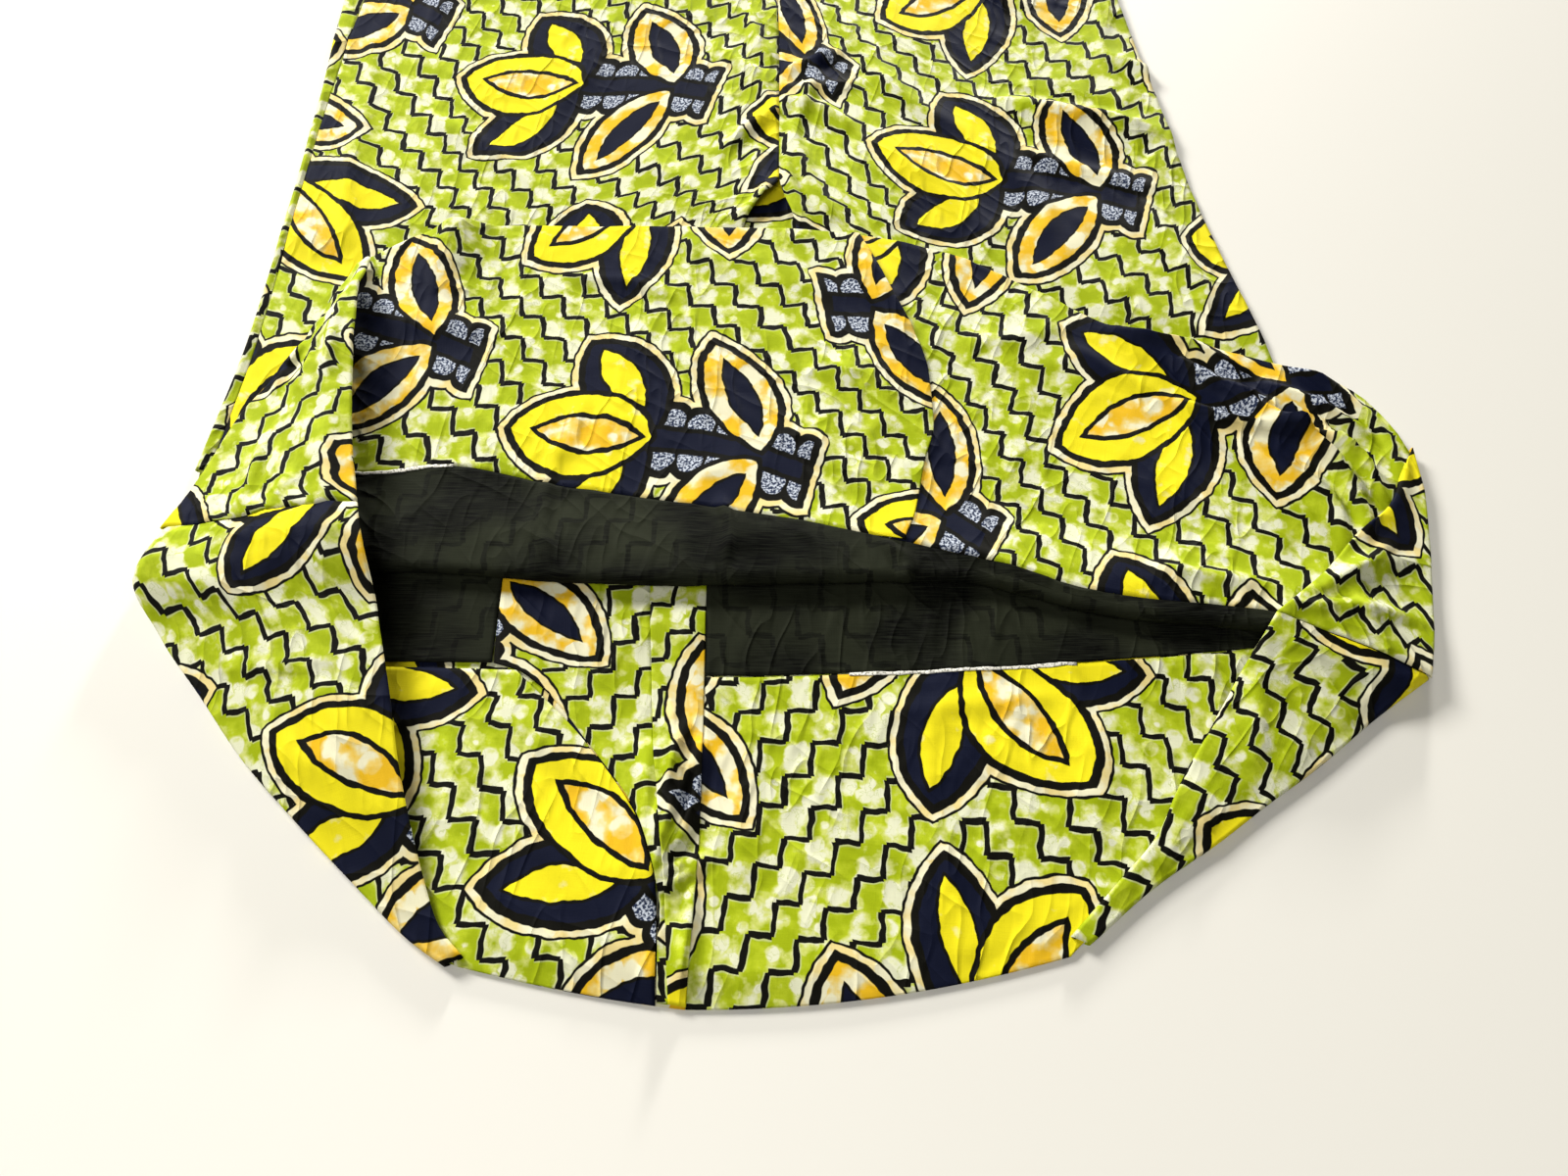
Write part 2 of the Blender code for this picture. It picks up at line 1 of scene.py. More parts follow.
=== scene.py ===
"""Ankara wax print dress: a sleeveless shift that lies on its front, with its hem opened out and turned up.

The front lies on the table and the back lies on it, right side up. The back's lower end is folded back over
itself, so that its hem facing and lining show, and the hem's side corners are turned in over the fold. Each
piece of cloth is a surface of two parameters that stands a small height above the one below it.

Places are in the layout: x runs across from the front's centre seam, y from the fold of the back towards the
neck, and the wearer's left is at minus x. Rows given to marks, sections, corner_lines and creases are in
millimetres, as are the print's own sizes, and all else is in metres. The dress frame's origin is under the
middle of the dress.
"""

from __future__ import annotations

import logging
import math
from collections.abc import Sequence
from dataclasses import dataclass
from enum import Enum
from functools import cached_property, reduce
from typing import NamedTuple

import bmesh
import bpy
import numpy as np
from bpy.types import ID, Material, Mesh, Node, NodeSocket, NodeTree, Object
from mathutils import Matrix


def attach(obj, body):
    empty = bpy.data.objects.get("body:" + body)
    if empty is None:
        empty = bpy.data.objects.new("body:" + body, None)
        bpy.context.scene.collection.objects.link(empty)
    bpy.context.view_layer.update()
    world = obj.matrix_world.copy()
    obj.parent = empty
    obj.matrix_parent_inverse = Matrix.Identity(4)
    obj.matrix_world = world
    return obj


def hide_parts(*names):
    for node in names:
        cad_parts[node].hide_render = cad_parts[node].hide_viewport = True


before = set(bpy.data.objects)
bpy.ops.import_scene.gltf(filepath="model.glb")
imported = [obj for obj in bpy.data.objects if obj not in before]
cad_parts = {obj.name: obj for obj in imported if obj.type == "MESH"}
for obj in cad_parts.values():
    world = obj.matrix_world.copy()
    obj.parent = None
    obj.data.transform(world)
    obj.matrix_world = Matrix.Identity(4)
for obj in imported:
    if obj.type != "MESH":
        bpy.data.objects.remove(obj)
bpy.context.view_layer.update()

BODY = "root"
LOG = logging.getLogger("ankara_dress")

Array = np.ndarray
MM = 0.001
TO_MM = 1 / MM
PRINT_MAP = "Print"  # the UV map, in metres on the printed length
LAYOUT_CENTRE = np.array([0.0414, 0.3920, 0.0])  # the dress frame's origin in the layout
LINE_POINTS = 60  # on a smooth line through a few marks
CREASE_POINTS = 4  # on a crease's smooth path for each mark, and as many more
CREASE_REACH = 2.6  # widths from the path, past which a crease raises nothing
CREASE_END = 0.06  # the part of the half wave along a crease that is left out at either end
JOINED = 0.05 * MM  # points of a piece nearer than this are one
LATTICE_SIZE = 64  # random values along a side of the noise's lattice, before it repeats
LATTICE_TURN = (0.6, 0.8)  # the cosine and the sine of the lattice's angle to the layout


class Slot(Enum):
    """The material slots that the pieces name."""

    WAX_PRINT = "wax_print"
    LINING = "lining"


class Held(Enum):
    """How a sheet of cloth is held."""

    LAID = "laid"
    FOLDED = "folded"


class Section(NamedTuple):
    """A line across a piece: its end at the centre, its end at the side, and its middle's hang to the hem."""

    x_in: float
    y_in: float
    x_out: float
    y_out: float
    bow: float = 0.0


class Corner(NamedTuple):
    """A line across a turned corner: the fold's end, the hem's end, and how far the hem stands up."""

    x_fold: float
    y_fold: float
    x_hem: float
    y_hem: float
    lift: float


@dataclass(frozen=True)
class Placing:
    """Where a piece was cut on the printed length: turned by an angle in degrees and moved, in metres."""

    turn: float = 0.0
    shift: tuple[float, float] = (0.0, 0.0)

    def place(self, cut: Array) -> Array:
        """The piece's points on the whole length."""
        c, s = math.cos(math.radians(self.turn)), math.sin(math.radians(self.turn))
        return cut @ np.array([[c, s], [-s, c]]) + self.shift


Marks = Sequence[tuple[float, float]]
Sections = Sequence[Section]
CornerLines = Sequence[Corner]
Lie = tuple[Array, Array]  # the x and the y of a piece's points
CENTRE_END_Y, SIDE_END_Y, SIDE_END = slice(1, 2), slice(3, 4), slice(2, 4)  # columns of a section
SIDE_X, SIDE_Y = 2, 3  # and its single columns at the side


def metres(lengths: Sequence[float]) -> tuple[float, ...]:
    """Lengths that are written in millimetres."""
    return tuple(length / TO_MM for length in lengths)


def marks(*points: Sequence[float]) -> Marks:
    """The points of a line, each written in millimetres."""
    return tuple(metres(point) for point in points)


def sections(*rows: Sequence[float]) -> Sections:
    """The sections of a piece, each written as a row in millimetres."""
    return tuple(Section(*metres(row)) for row in rows)


def corner_lines(*rows: Sequence[float]) -> CornerLines:
    """The lines of a turned corner, each written as a row in millimetres."""
    return tuple(Corner(*metres(row)) for row in rows)


# Curves and surfaces


def smooth(table: Sequence, count: int, along: slice = slice(None)) -> Array:
    """Rows on a smooth curve through a table's rows, which never swings past them.

    Each column is a cubic between rows. Its slope at a row is the harmonic mean of the two slopes beside it,
    or 0 where they differ in sign.

    Args:
        table: rows of numbers.
        count: how many rows to return, at even distances.
        along: the columns that measure the distance between rows.

    Returns:
        An array with count rows.
    """
    rows = np.array(table, float)
    steps = np.linalg.norm(np.diff(rows[:, along], axis=0), axis=1)
    reach = np.concatenate([[0], np.cumsum(steps)])
    rise = np.diff(rows, axis=0) / steps[:, None]
    product, total = rise[:-1] * rise[1:], rise[:-1] + rise[1:]
    middle = np.divide(2 * product, total, out=np.zeros_like(product), where=product > 0)
    slope = np.vstack([rise[:1], middle, rise[-1:]])
    at = np.linspace(0, reach[-1], count)
    k = np.clip(np.searchsorted(reach, at, side="right") - 1, 0, len(rows) - 2)
    span = steps[k][:, None]
    t = (at - reach[k])[:, None] / span
    first = (1 + 2 * t) * (1 - t) ** 2 * rows[k] + t * (1 - t) ** 2 * span * slope[k]
    second = t**2 * (3 - 2 * t) * rows[k + 1] - t**2 * (1 - t) * span * slope[k + 1]
    return first + second


def ease(t: Array) -> Array:
    """0 below 0 and 1 above 1, with a smooth cubic rise between."""
    t = np.clip(t, 0, 1)
    return t * t * (3 - 2 * t)


def grid(x: Array, y: Array, z: Array) -> Array:
    """Points from their coordinates, as rows and columns of (x, y, z)."""
    return np.stack(np.broadcast_arrays(x, y, z), axis=-1)


def across(rows: Array, parts: Array) -> tuple[Array, Array]:
    """Points at those parts of each section, on a line that hangs by a parabola of the section's bow.

    Args:
        rows: sections, one a row.
        parts: from 0 at the centre end to 1 at the side end.

    Returns:
        The x and the y of the points, with a row for each section.
    """
    x_in, y_in, x_out, y_out, bow = (column[:, None] for column in np.asarray(rows, float).T)
    return x_in + (x_out - x_in) * parts, y_in + (y_out - y_in) * parts - bow * 4 * parts * (1 - parts)


def mirrored(table: Sections) -> Sections:
    """The sections with their x turned round."""
    return tuple(row._replace(x_in=-row.x_in, x_out=-row.x_out) for row in table)


def unit(vectors: Array) -> Array:
    """The vectors at a length of 1, or 0 where they have no length."""
    length = np.linalg.norm(vectors, axis=-1, keepdims=True)
    return np.divide(vectors, length, out=np.zeros_like(vectors), where=length > 0)


def noise(x: Array, y: Array, cell: float, seed: int) -> Array:
    """Smooth random heights from -1 to 1: a square lattice of random values, eased between its points.

    Args:
        x: where, across.
        y: where, along.
        cell: the lattice's spacing, in metres.
        seed: of the random values.

    Returns:
        A height for each place.
    """
    lattice = np.random.default_rng(seed).uniform(-1, 1, (LATTICE_SIZE, LATTICE_SIZE))
    cosine, sine = LATTICE_TURN
    turned = cosine * x + sine * y, sine * x - cosine * y
    cells = [np.floor(part / cell).astype(int) for part in turned]
    s, t = (ease(part / cell - whole) for part, whole in zip(turned, cells))
    i, j = (whole % LATTICE_SIZE for whole in cells)
    i_next, j_next = (i + 1) % LATTICE_SIZE, (j + 1) % LATTICE_SIZE
    low = lattice[i, j] * (1 - s) + lattice[i_next, j] * s
    high = lattice[i, j_next] * (1 - s) + lattice[i_next, j_next] * s
    return low * (1 - t) + high * t


@dataclass(frozen=True)
class Crease:
    """A soft ridge in cloth, or a trough where its height is below 0."""

    path: Marks
    height: float
    left_width: float
    right_width: float

    def lift(self, x: Array, y: Array) -> Array:
        """How far the crease raises the cloth at each place.

        The height falls off as a bell curve of the distance from the path, with its own width on either side,
        and rises and falls along the path as a half sine wave's root.

        Args:
            x: where, across.
            y: where, along.

        Returns:
            A height for each place, in metres.
        """
        line = smooth(self.path, CREASE_POINTS * (len(self.path) + 1))
        reach = CREASE_REACH * max(self.left_width, self.right_width)
        low, high = line.min(axis=0) - reach, line.max(axis=0) + reach
        near = (x > low[0]) & (x < high[0]) & (y > low[1]) & (y < high[1])
        lift = np.zeros(np.shape(x))
        if not near.any():
            return lift
        start, step = line[:-1], np.diff(line, axis=0)
        from_start = np.stack([x[near], y[near]], axis=-1)[:, None] - start
        part = np.clip((from_start * step).sum(-1) / (step**2).sum(-1), 0, 1)
        offset = from_start - part[..., None] * step
        distance = np.linalg.norm(offset, axis=-1)
        nearest = distance.argmin(axis=1)[:, None]
        turn = step[:, 0] * offset[..., 1] - step[:, 1] * offset[..., 0]
        side, beyond, away = (np.take_along_axis(of, nearest, 1)[:, 0] for of in (turn, part, distance))
        along = (nearest[:, 0] + beyond) / len(step)
        away = away / np.where(side > 0, self.left_width, self.right_width)
        swell = np.sqrt(np.sin(np.pi * (CREASE_END + (1 - 2 * CREASE_END) * along)))
        lift[near] = self.height * swell * np.exp(-(away**2))
        return lift


Creases = Sequence[Crease]


def creases(*rows: Sequence) -> Creases:
    """Creases from rows in millimetres: the height, the width or the left and right ones, and the marks."""
    made = []
    for height, width, *path in rows:
        left, right = width if isinstance(width, tuple) else (width, width)
        made.append(Crease(marks(*path), *metres((height, left, right))))
    return tuple(made)


@dataclass(frozen=True)
class Crumple:
    """The slight unevenness all over a stretch of worn cotton."""

    wave: float = 2.4 * MM
    wave_length: float = 80 * MM
    fold: float = 2.2 * MM
    fold_spacing: float = 44 * MM
    fold_stretch: float = 0.36  # how much slower the folds change along the dress than across it
    fold_bend: float = 0.3  # how far they stray sideways, in spacings
    fold_sharpness: int = 4
    ridge: float = 1.2 * MM
    ridge_spacing: float = 28 * MM
    ridge_sharpness: int = 6
    finer_ridges: float = 0.5  # the height and the spacing of a second set, as parts of the first's
    patch: float = 84 * MM  # size of the patches with more folds and ridges
    seed: int = 7

    def lift(self, x: Array, y: Array) -> Array:
        """Broad waves, long soft folds, and sharp low ridges along the lines where a noise passes 0.

        Args:
            x: where, across.
            y: where, along.

        Returns:
            A height for each place, never below 0.
        """
        wave, ridge, finer, patch, bend, fold = range(self.seed, self.seed + 6)
        waves = 0.5 + 0.5 * noise(x, y, self.wave_length, wave)
        x_bent = x + self.fold_bend * self.fold_spacing * noise(x, y, self.wave_length, bend)
        folds = 1 - np.abs(noise(x_bent, self.fold_stretch * y, self.fold_spacing, fold))
        ridges = 1 - np.abs(noise(x, y, self.ridge_spacing, ridge))
        finer_ridges = 1 - np.abs(noise(y, x, self.ridge_spacing * self.finer_ridges, finer))
        both = ridges**self.ridge_sharpness + self.finer_ridges * finer_ridges**self.ridge_sharpness
        patches = 0.5 + 0.5 * noise(x, y, self.patch, patch)
        return self.wave * waves + patches * (self.fold * folds**self.fold_sharpness + self.ridge * both)


@dataclass(frozen=True)
class Lay:
    """How the layers lie on each other: the lines they follow, and each layer's height over the table."""

    wall: float = 1.2 * MM
    gap: float = 0.3 * MM
    linings_reach: float = 12 * MM  # of the linings past the fold, in under the back
    linings_ease: float = 34 * MM  # length over which the back comes down from them
    flap_air: float = 0.8 * MM
    fold_open: float = 2.7 * MM
    fold_ease: float = 60 * MM
    corner_air: float = 1.2 * MM
    corner_ease: float = 30 * MM
    vent_x: float = 25 * MM
    vent_top: float = 272 * MM
    vent_half_width: float = 74 * MM
    vent_ease: float = 30 * MM
    vent_head: float = 80 * MM
    fold_layers: int = 3  # walls that end at the fold, under the flap
    hem_calm: float = 24 * MM  # length over which the back's creases grow above the flap's hem
    lip_calm: float = 22 * MM  # and the front's creases below the fold
    front_hem_calm: float = 16 * MM  # and above its own hem
    side_x: float = 322 * MM  # from where the flap sags to the table, past the back's side
    side_ease: float = 46 * MM
    side_sag: float = 0.72  # the part of its height that it loses

    fold: Marks = marks(
        (-295, -2), (-170, 8), (-30, 0), (120, 2), (200, -17), (278, -26), (351, -56),
    )
    lining_edge: Marks = marks(
        (-300, 64), (-185, 61), (-143, 66), (-90, 55), (36, 32), (87, 20), (140, 7), (200, -12),
        (278, -21), (360, -50),
    )
    flap_hem: Marks = marks(
        (-210, 203), (-175, 225), (-120, 231), (36, 227), (125, 213), (184, 180), (221, 157),
        (300, 134), (352, 113), (372.5, 80),
    )
    front_hem: Marks = marks(
        (-292, -2), (-249, -62), (-193, -122), (-131, -177), (-107, -186), (-60, -199), (-7, -206),
        (60, -205), (110, -197), (165, -178), (236, -134), (288, -99), (350, -55),
    )
    back_creases: Creases = creases(
        (6.6, (4.5, 8), (178, 338), (215, 327), (267, 311)),
        (-1.5, 4, (183, 346), (222, 337), (276, 325)),
        (4.9, 5, (252, 374), (275, 358)),
        (3.9, 6, (253, 244), (269, 211), (283, 175)),
        (2.7, 8, (163, 296), (190, 256), (197, 211)),
        (2.3, 9, (97, 296), (131, 264), (158, 225)),
        (2.3, 9, (-61, 296), (-30, 272), (-11, 240)),
        (3.2, 6, (-186, 322), (-146, 296), (-119, 268)),
        (3.1, 7, (-231, 296), (-229, 256), (-225, 218)),
        (4.7, 4, (35, 362), (55, 372), (74, 383)),
        (3.5, 3.5, (36, 348), (58, 348), (84, 352)),
        (4.3, 4, (35, 338), (58, 331), (78, 314)),
        (4.7, 4, (31, 372), (18, 391), (13, 414)),
        (3.1, 4, (31, 356), (13, 366), (-6, 385)),
        (4.7, 4, (33, 329), (15, 314), (0, 296)),
        (4.2, 5, (39, 312), (51, 272), (65, 240)),
        (3.1, 3, (36, 296), (41, 262), (49, 240)),
        (5.1, (4, 7), (4, 236), (18, 249), (31, 270)),
        (-1.5, 2, (0, 930), (6, 690), (29, 500), (33, 344), (33, 272)),
        (5.3, (12, 8), (120, 780), (165, 700), (205, 640)),
        (4.6, (9, 14), (-165, 790), (-110, 715), (-92, 600)),
        (3.1, 15, (50, 860), (81, 700), (98, 560)),
        (4, 8, (-35, 780), (-62, 660), (-34, 545)),
        (4.3, (10, 6), (190, 580), (162, 510), (188, 430)),
        (3.5, 9, (-205, 600), (-172, 510), (-190, 425)),
        (3, 9, (120, 935), (128, 880), (110, 820)),
        (2.6, 8, (-122, 940), (-126, 890), (-100, 830)),
        (2.8, 7, (81, 406), (102, 353), (149, 310)),
        (2.6, 5, (184, 294), (221, 278), (264, 262)),
        (2.4, 9, (-81, 416), (-90, 370), (-112, 327)),
        (3, 3.5, (18, 294), (23, 262), (30, 227)),
        (3, 4, (63, 388), (52, 344), (43, 310)),
        (2.8, 3.5, (11, 370), (24, 344), (34, 318)),
        (2.6, 6, (-233, 397), (-230, 344), (-226, 294)),
        (1.8, 7, (137, 370), (159, 327), (162, 286)),
        (2.2, 5, (-254, 231), (-233, 209), (-217, 180)),
    )
    flap_creases: Creases = creases(
        (2.4, 3.5, (-89, 194), (-50, 188), (-22, 177)),
        (-0.9, 3, (-83, 185), (-49, 179), (-20, 166)),
        (3.8, (3, 6), (83, 213), (99, 172), (107, 154)),
        (2.5, 4, (-16, 141), (-1, 119), (13, 92)),
        (2, 5, (-74, 106), (-81, 80), (-90, 60)),
        (3.4, 8, (-201, 176), (-176, 161), (-147, 151)),
        (10.5, (15, 12), (-158, 262), (-157, 232), (-160, 196)),
        (-1.2, 6, (-134, 229), (-128, 207), (-122, 182)),
        (1.8, 5, (-22, 225), (-13, 209), (2, 196)),
        (2.5, 3.5, (-88, 57), (-94, 30), (-89, 6)),
        (2.2, 3.5, (5, 44), (5, 24), (8, 3)),
        (1.9, 4, (118, 15), (140, 10), (166, -4)),
        (2.4, 5, (141, 147), (174, 151), (194, 157)),
        (2, 5, (201, 140), (216, 127), (236, 117)),
        (5.5, 4, (225, 154), (257, 146), (292, 126)),
        (5.9, 3, (254, 135), (272, 118), (303, 103)),
        (6.4, 3, (254, 106), (275, 95), (296, 90), (317, 85)),
        (9, 3, (281, 109), (301, 94), (317, 80), (329, 65), (339, 52)),
        (6.4, 3.5, (301, 117), (326, 104), (349, 88)),
        (6.9, 2.6, (304, 89), (330, 82), (346, 68), (351, 48)),
        (5.5, 3, (335, 52), (339, 36), (333, 22)),
        (4, 5, (292, 72), (311, 55), (324, 30)),
        (3.5, 4, (226, 4), (252, -2), (279, -7)),
        (1.5, 9, (40, 120), (75, 128), (94, 118)),
        (3.4, 2.6, (280, 144), (320, 131), (355, 102)),
        (3.9, 2.4, (302, 110), (327, 90), (345, 64)),
        (3.6, 2.6, (310, 87), (328, 65), (335, 39)),
        (3.4, 3, (315, 58), (325, 39), (324, 18)),
        (2.9, 4, (257, 131), (285, 114), (306, 87)),
        (2.1, 8, (234, 69), (256, 39), (269, -1)),
        (3.1, 2.4, (340, 113), (360, 90), (366, 60)),
        (1.6, 7, (-22, 216), (13, 202), (64, 180)),
        (2, 6, (-172, 180), (-147, 159), (-119, 152)),
        (1.8, 6, (31, 94), (62, 69), (90, 39)),
        (3.4, 2.8, (-88, 51), (-88, 27), (-81, 8)),
        (3.6, 2.8, (3, 42), (10, 25), (7, 8)),
        (3.8, 2.8, (89, 16), (98, 5), (93, -12)),
    )
    corner_creases: Creases = creases(
        (-1.7, 1.8, (-285, 26), (-272, 29), (-231, 30), (-178, 33)),
        (3.2, 5, (-221, 185), (-215, 151), (-206, 115)),
        (2.4, 4, (-232, 166), (-224, 144), (-217, 118)),
        (4.8, 3.5, (-232, 140), (-238, 126), (-241, 108)),
        (2.8, 7, (-229, 89), (-210, 70), (-197, 42)),
        (4.1, 4, (-239, 78), (-240, 56), (-244, 34)),
        (3.2, 4, (-268, 55), (-262, 40), (-257, 30)),
        (2.2, 4, (-215, 52), (-222, 40), (-226, 31)),
        (2.9, 4, (-247, 18), (-216, 15), (-181, 18)),
        (3.2, 2.8, (-243, -50), (-214, -51), (-183, -49)),
        (-1.2, 2.8, (-243, -56), (-214, -57), (-183, -56)),
        (2.8, 5, (-272, -5), (-252, -8), (-229, -15)),
        (2.2, 7, (-222, -58), (-197, -88), (-179, -116)),
        (2.5, 6, (-188, -58), (-174, -88), (-160, -121)),
        (-1.6, 1.8, (279, -28), (297, -34), (318, -43), (350, -56)),
        (3.6, 3.5, (283, -22), (304, -20), (352, -24)),
        (3.2, 4, (284, -18), (311, -6), (345, 16)),
        (2.5, 4, (306, -6), (332, 4), (361, 10)),
        (3.6, 3, (272, -36), (297, -44), (329, -58)),
        (2.9, 4, (273, -46), (294, -57), (306, -74)),
        (2.4, 5, (265, -50), (262, -75), (258, -98)),
        (2.2, 5, (221, -104), (230, -116), (233, -130)),
        (3, 3.5, (-220, 158), (-221, 135), (-225, 109)),
        (2.6, 3.5, (-211, 173), (-209, 146), (-208, 117)),
        (2.4, 5, (-238, 80), (-226, 59), (-214, 32)),
        (2.4, 5, (-202, 92), (-200, 61), (-192, 32)),
        (2.2, 4, (-246, 44), (-233, 32), (-212, 26)),
        (2.2, 5, (-254, -12), (-233, -22), (-203, -26)),
        (1.8, 7, (-216, -82), (-195, -97), (-167, -101)),
    )
    lip_creases: Creases = creases(
        (7.5, (2.6, 4.5), (-19, -72), (-16, -103), (-19, -127), (-24, -146)),
        (5.2, 3, (-4, -86), (-13, -113), (-21, -144)),
        (4, 3, (-3, -118), (-12, -134), (-24, -150)),
        (5, 4, (-29, -88), (-28, -118), (-28, -146)),
        (4, 3, (-29, -158), (-14, -152), (2, -142)),
        (3.5, 4, (-12, -176), (-9, -192), (-8, -208)),
        (2.2, 7, (-92, -68), (-76, -88), (-61, -102)),
        (2.3, 9, (-104, -92), (-72, -134), (-42, -178)),
        (1.9, 8, (-126, -90), (-112, -132), (-91, -170)),
        (1.9, 8, (17, -68), (22, -107), (20, -143)),
        (1.8, 6, (83, -72), (132, -66), (170, -62)),
        (2.4, 8, (175, -53), (184, -88), (181, -125)),
        (2.4, 4, (238, -40), (246, -52), (250, -66)),
        (1.7, 10, (60, -112), (95, -150), (118, -186)),
        (4.8, 2.2, (-11, -76), (-18, -102), (-25, -135)),
        (4.6, 2, (-3, -88), (-6, -113), (-14, -134)),
        (3, 2.6, (-23, -59), (-15, -79), (-10, -107)),
        (4.2, 2.2, (-26, -154), (-13, -145), (-1, -140)),
        (4, 2.6, (-5, -154), (-7, -174), (-9, -194)),
        (1.6, 6, (4, -107), (10, -130), (18, -152)),
        (2.4, 4, (-38, -88), (-30, -107), (-23, -130)),
    )
    crumple: Crumple = Crumple()

    @property
    def layer(self) -> float:
        """From one wall's middle to the next one's."""
        return self.wall + self.gap

    def line(self, through: Marks, x: Array) -> Array:
        """The y at x of a smooth line through those marks."""
        return np.interp(x, *smooth(through, LINE_POINTS).T)

    def above_fold(self, x: Array, y: Array) -> Array:
        """How far up the dress a place is from the fold."""
        return y - self.line(self.fold, x)

    def creased(self, placed: Creases, x: Array, y: Array) -> Array:
        """The lift of those creases and of the crumple together, no lower than the layers' air allows."""
        lift = self.crumple.lift(x, y) + sum(crease.lift(x, y) for crease in placed)
        return np.maximum(lift, -self.flap_air)

    def flat_back(self, x: Array, y: Array) -> Array:
        """The back's middle without creases: raised over the linings at the fold, and over the underlay."""
        past_linings = (self.above_fold(x, y) - self.linings_reach - self.wall) / self.linings_ease
        beside = (self.vent_half_width + self.vent_ease - np.abs(x - self.vent_x)) / self.vent_ease
        over = (self.vent_top + self.vent_head + self.vent_ease - y) / self.vent_ease
        linings = 2 * self.layer * (1 - ease(past_linings))
        return self.wall / 2 + self.layer + linings + self.layer * ease(beside) * ease(over)

    def back(self, x: Array, y: Array) -> Array:
        """The back's middle, creased where it shows above the flap's hem."""
        shown = ease((y - self.line(self.flap_hem, x) - self.layer) / self.hem_calm)
        return self.flat_back(x, y) + shown * self.creased(self.back_creases, x, y)

    def flap(self, x: Array, y: Array) -> Array:
        """The flap's middle: on the back, higher towards the fold, and lower past the back's side."""
        opened = self.fold_open * (1 - ease(self.above_fold(x, y) / self.fold_ease))
        smoothed = self.flat_back(x, y) + self.layer + self.flap_air + opened
        sag = self.side_sag * (smoothed - self.wall / 2) * ease((x - self.side_x) / self.side_ease)
        return smoothed - sag + self.creased(self.flap_creases, x, y)

    def front(self, x: Array, y: Array, share: float = 1.0) -> Array:
        """The front's middle: on the table, with that share of its creases between the fold and its hem."""
        shown = ease((-self.above_fold(x, y) - self.fold_layers * self.layer) / self.lip_calm)
        shown = shown * ease((y - self.line(self.front_hem, x)) / self.front_hem_calm)
        return self.wall / 2 + share * shown * np.maximum(self.creased(self.lip_creases, x, y), 0)

    def corner(self, x: Array, y: Array) -> Array:
        """A turned corner's middle, over the flap and its facing, and below the fold over the front's."""
        over_fold = ease(1 + np.minimum(self.above_fold(x, y), 0) / self.corner_ease)
        step = (self.flap(x, y) - self.wall / 2) * over_fold
        own = sum(crease.lift(x, y) for crease in self.corner_creases)
        return self.front(x, y) + step + 2 * self.layer + self.corner_air + np.maximum(own, -self.corner_air)


# Cloth with its place on the printed length


@dataclass(frozen=True)
class Cloth:
    """A surface of cloth, and where each of its points is on the length that it was cut from."""

    points: Array  # rows and columns of (x, y, z), in the layout
    cut: Array  # the same rows and columns of (u, v), in metres on the flat cloth

    @classmethod
    def lying(cls, points: Array) -> Cloth:
        """Cloth that lies almost flat, so that its place seen from above is its place on the length."""
        return cls(points, points[..., :2].copy())

    @classmethod
    def hanging(cls, points: Array) -> Cloth:
        """Cloth whose columns run along the length: v falls by each step's own length, round folds too."""
        steps = np.linalg.norm(np.diff(points, axis=0), axis=-1)
        fallen = np.vstack([np.zeros(points.shape[1]), np.cumsum(steps, axis=0)])
        return cls(points, np.stack([points[..., 0], points[0, :, 1] - fallen], axis=-1))

    @classmethod
    def turned_in(cls, points: Array, foot: Array, inward: Array) -> Cloth:
        """Cloth whose rows each start at foot and run inward, by each step's own length."""
        steps = np.linalg.norm(np.diff(points, axis=1), axis=-1)
        reach = np.hstack([np.zeros((len(points), 1)), np.cumsum(steps, axis=1)])
        return cls(points, foot[:, None] + inward[:, None] * reach[..., None])

    def transposed(self) -> Cloth:
        """The same cloth with its rows and columns exchanged."""
        return Cloth(self.points.swapaxes(0, 1), self.cut.swapaxes(0, 1))

    def reversed(self) -> Cloth:
        """The same cloth with its rows in the opposite order."""
        return Cloth(self.points[::-1], self.cut[::-1])

    def rolled(self, radius: float, under: int = 0, steps: int = 6) -> Cloth:
        """The cloth with its last row carried round a half circle, outwards and down.

        Args:
            radius: of the half circle.
            under: how many of the last rows are followed back underneath.
            steps: rows round the half circle.

        Returns:
            The cloth with those rows added.
        """
        edge, edge_cut = self.points[-1], self.cut[-1]
        out = unit(edge[:, :2] - self.points[-2, :, :2])
        on = unit(edge_cut - self.cut[-2])
        angle = np.linspace(0, np.pi, steps + 1)[1:, None, None]
        level = np.ones((1, len(edge), 1))
        carried, sunk = out * radius * np.sin(angle), radius * (1 - np.cos(angle)) * level
        round_edge = np.concatenate([edge[:, :2] + carried, edge[:, 2:] - sunk], axis=-1)
        round_cut = edge_cut + on * radius * angle
        points, cut = [self.points, round_edge], [self.cut, round_cut]
        if under:
            points.append(self.points[-2 : -2 - under : -1] - (0, 0, 2 * radius))
            gone = np.linalg.norm(points[-1][..., :2] - edge[:, :2], axis=-1)[..., None]
            cut.append(round_cut[-1] + on * gone)
        return Cloth(np.vstack(points), np.vstack(cut))


def quad_indices(rows: int, columns: int, first: int) -> Array:
    """The corners of a grid's quads, counted from first, as an array with a row for each quad."""
    index = first + np.arange(rows * columns).reshape(rows, columns)
    quads = [index[:-1, :-1], index[:-1, 1:], index[1:, 1:], index[1:, :-1]]
    return np.stack(quads, axis=-1).reshape(-1, 4)


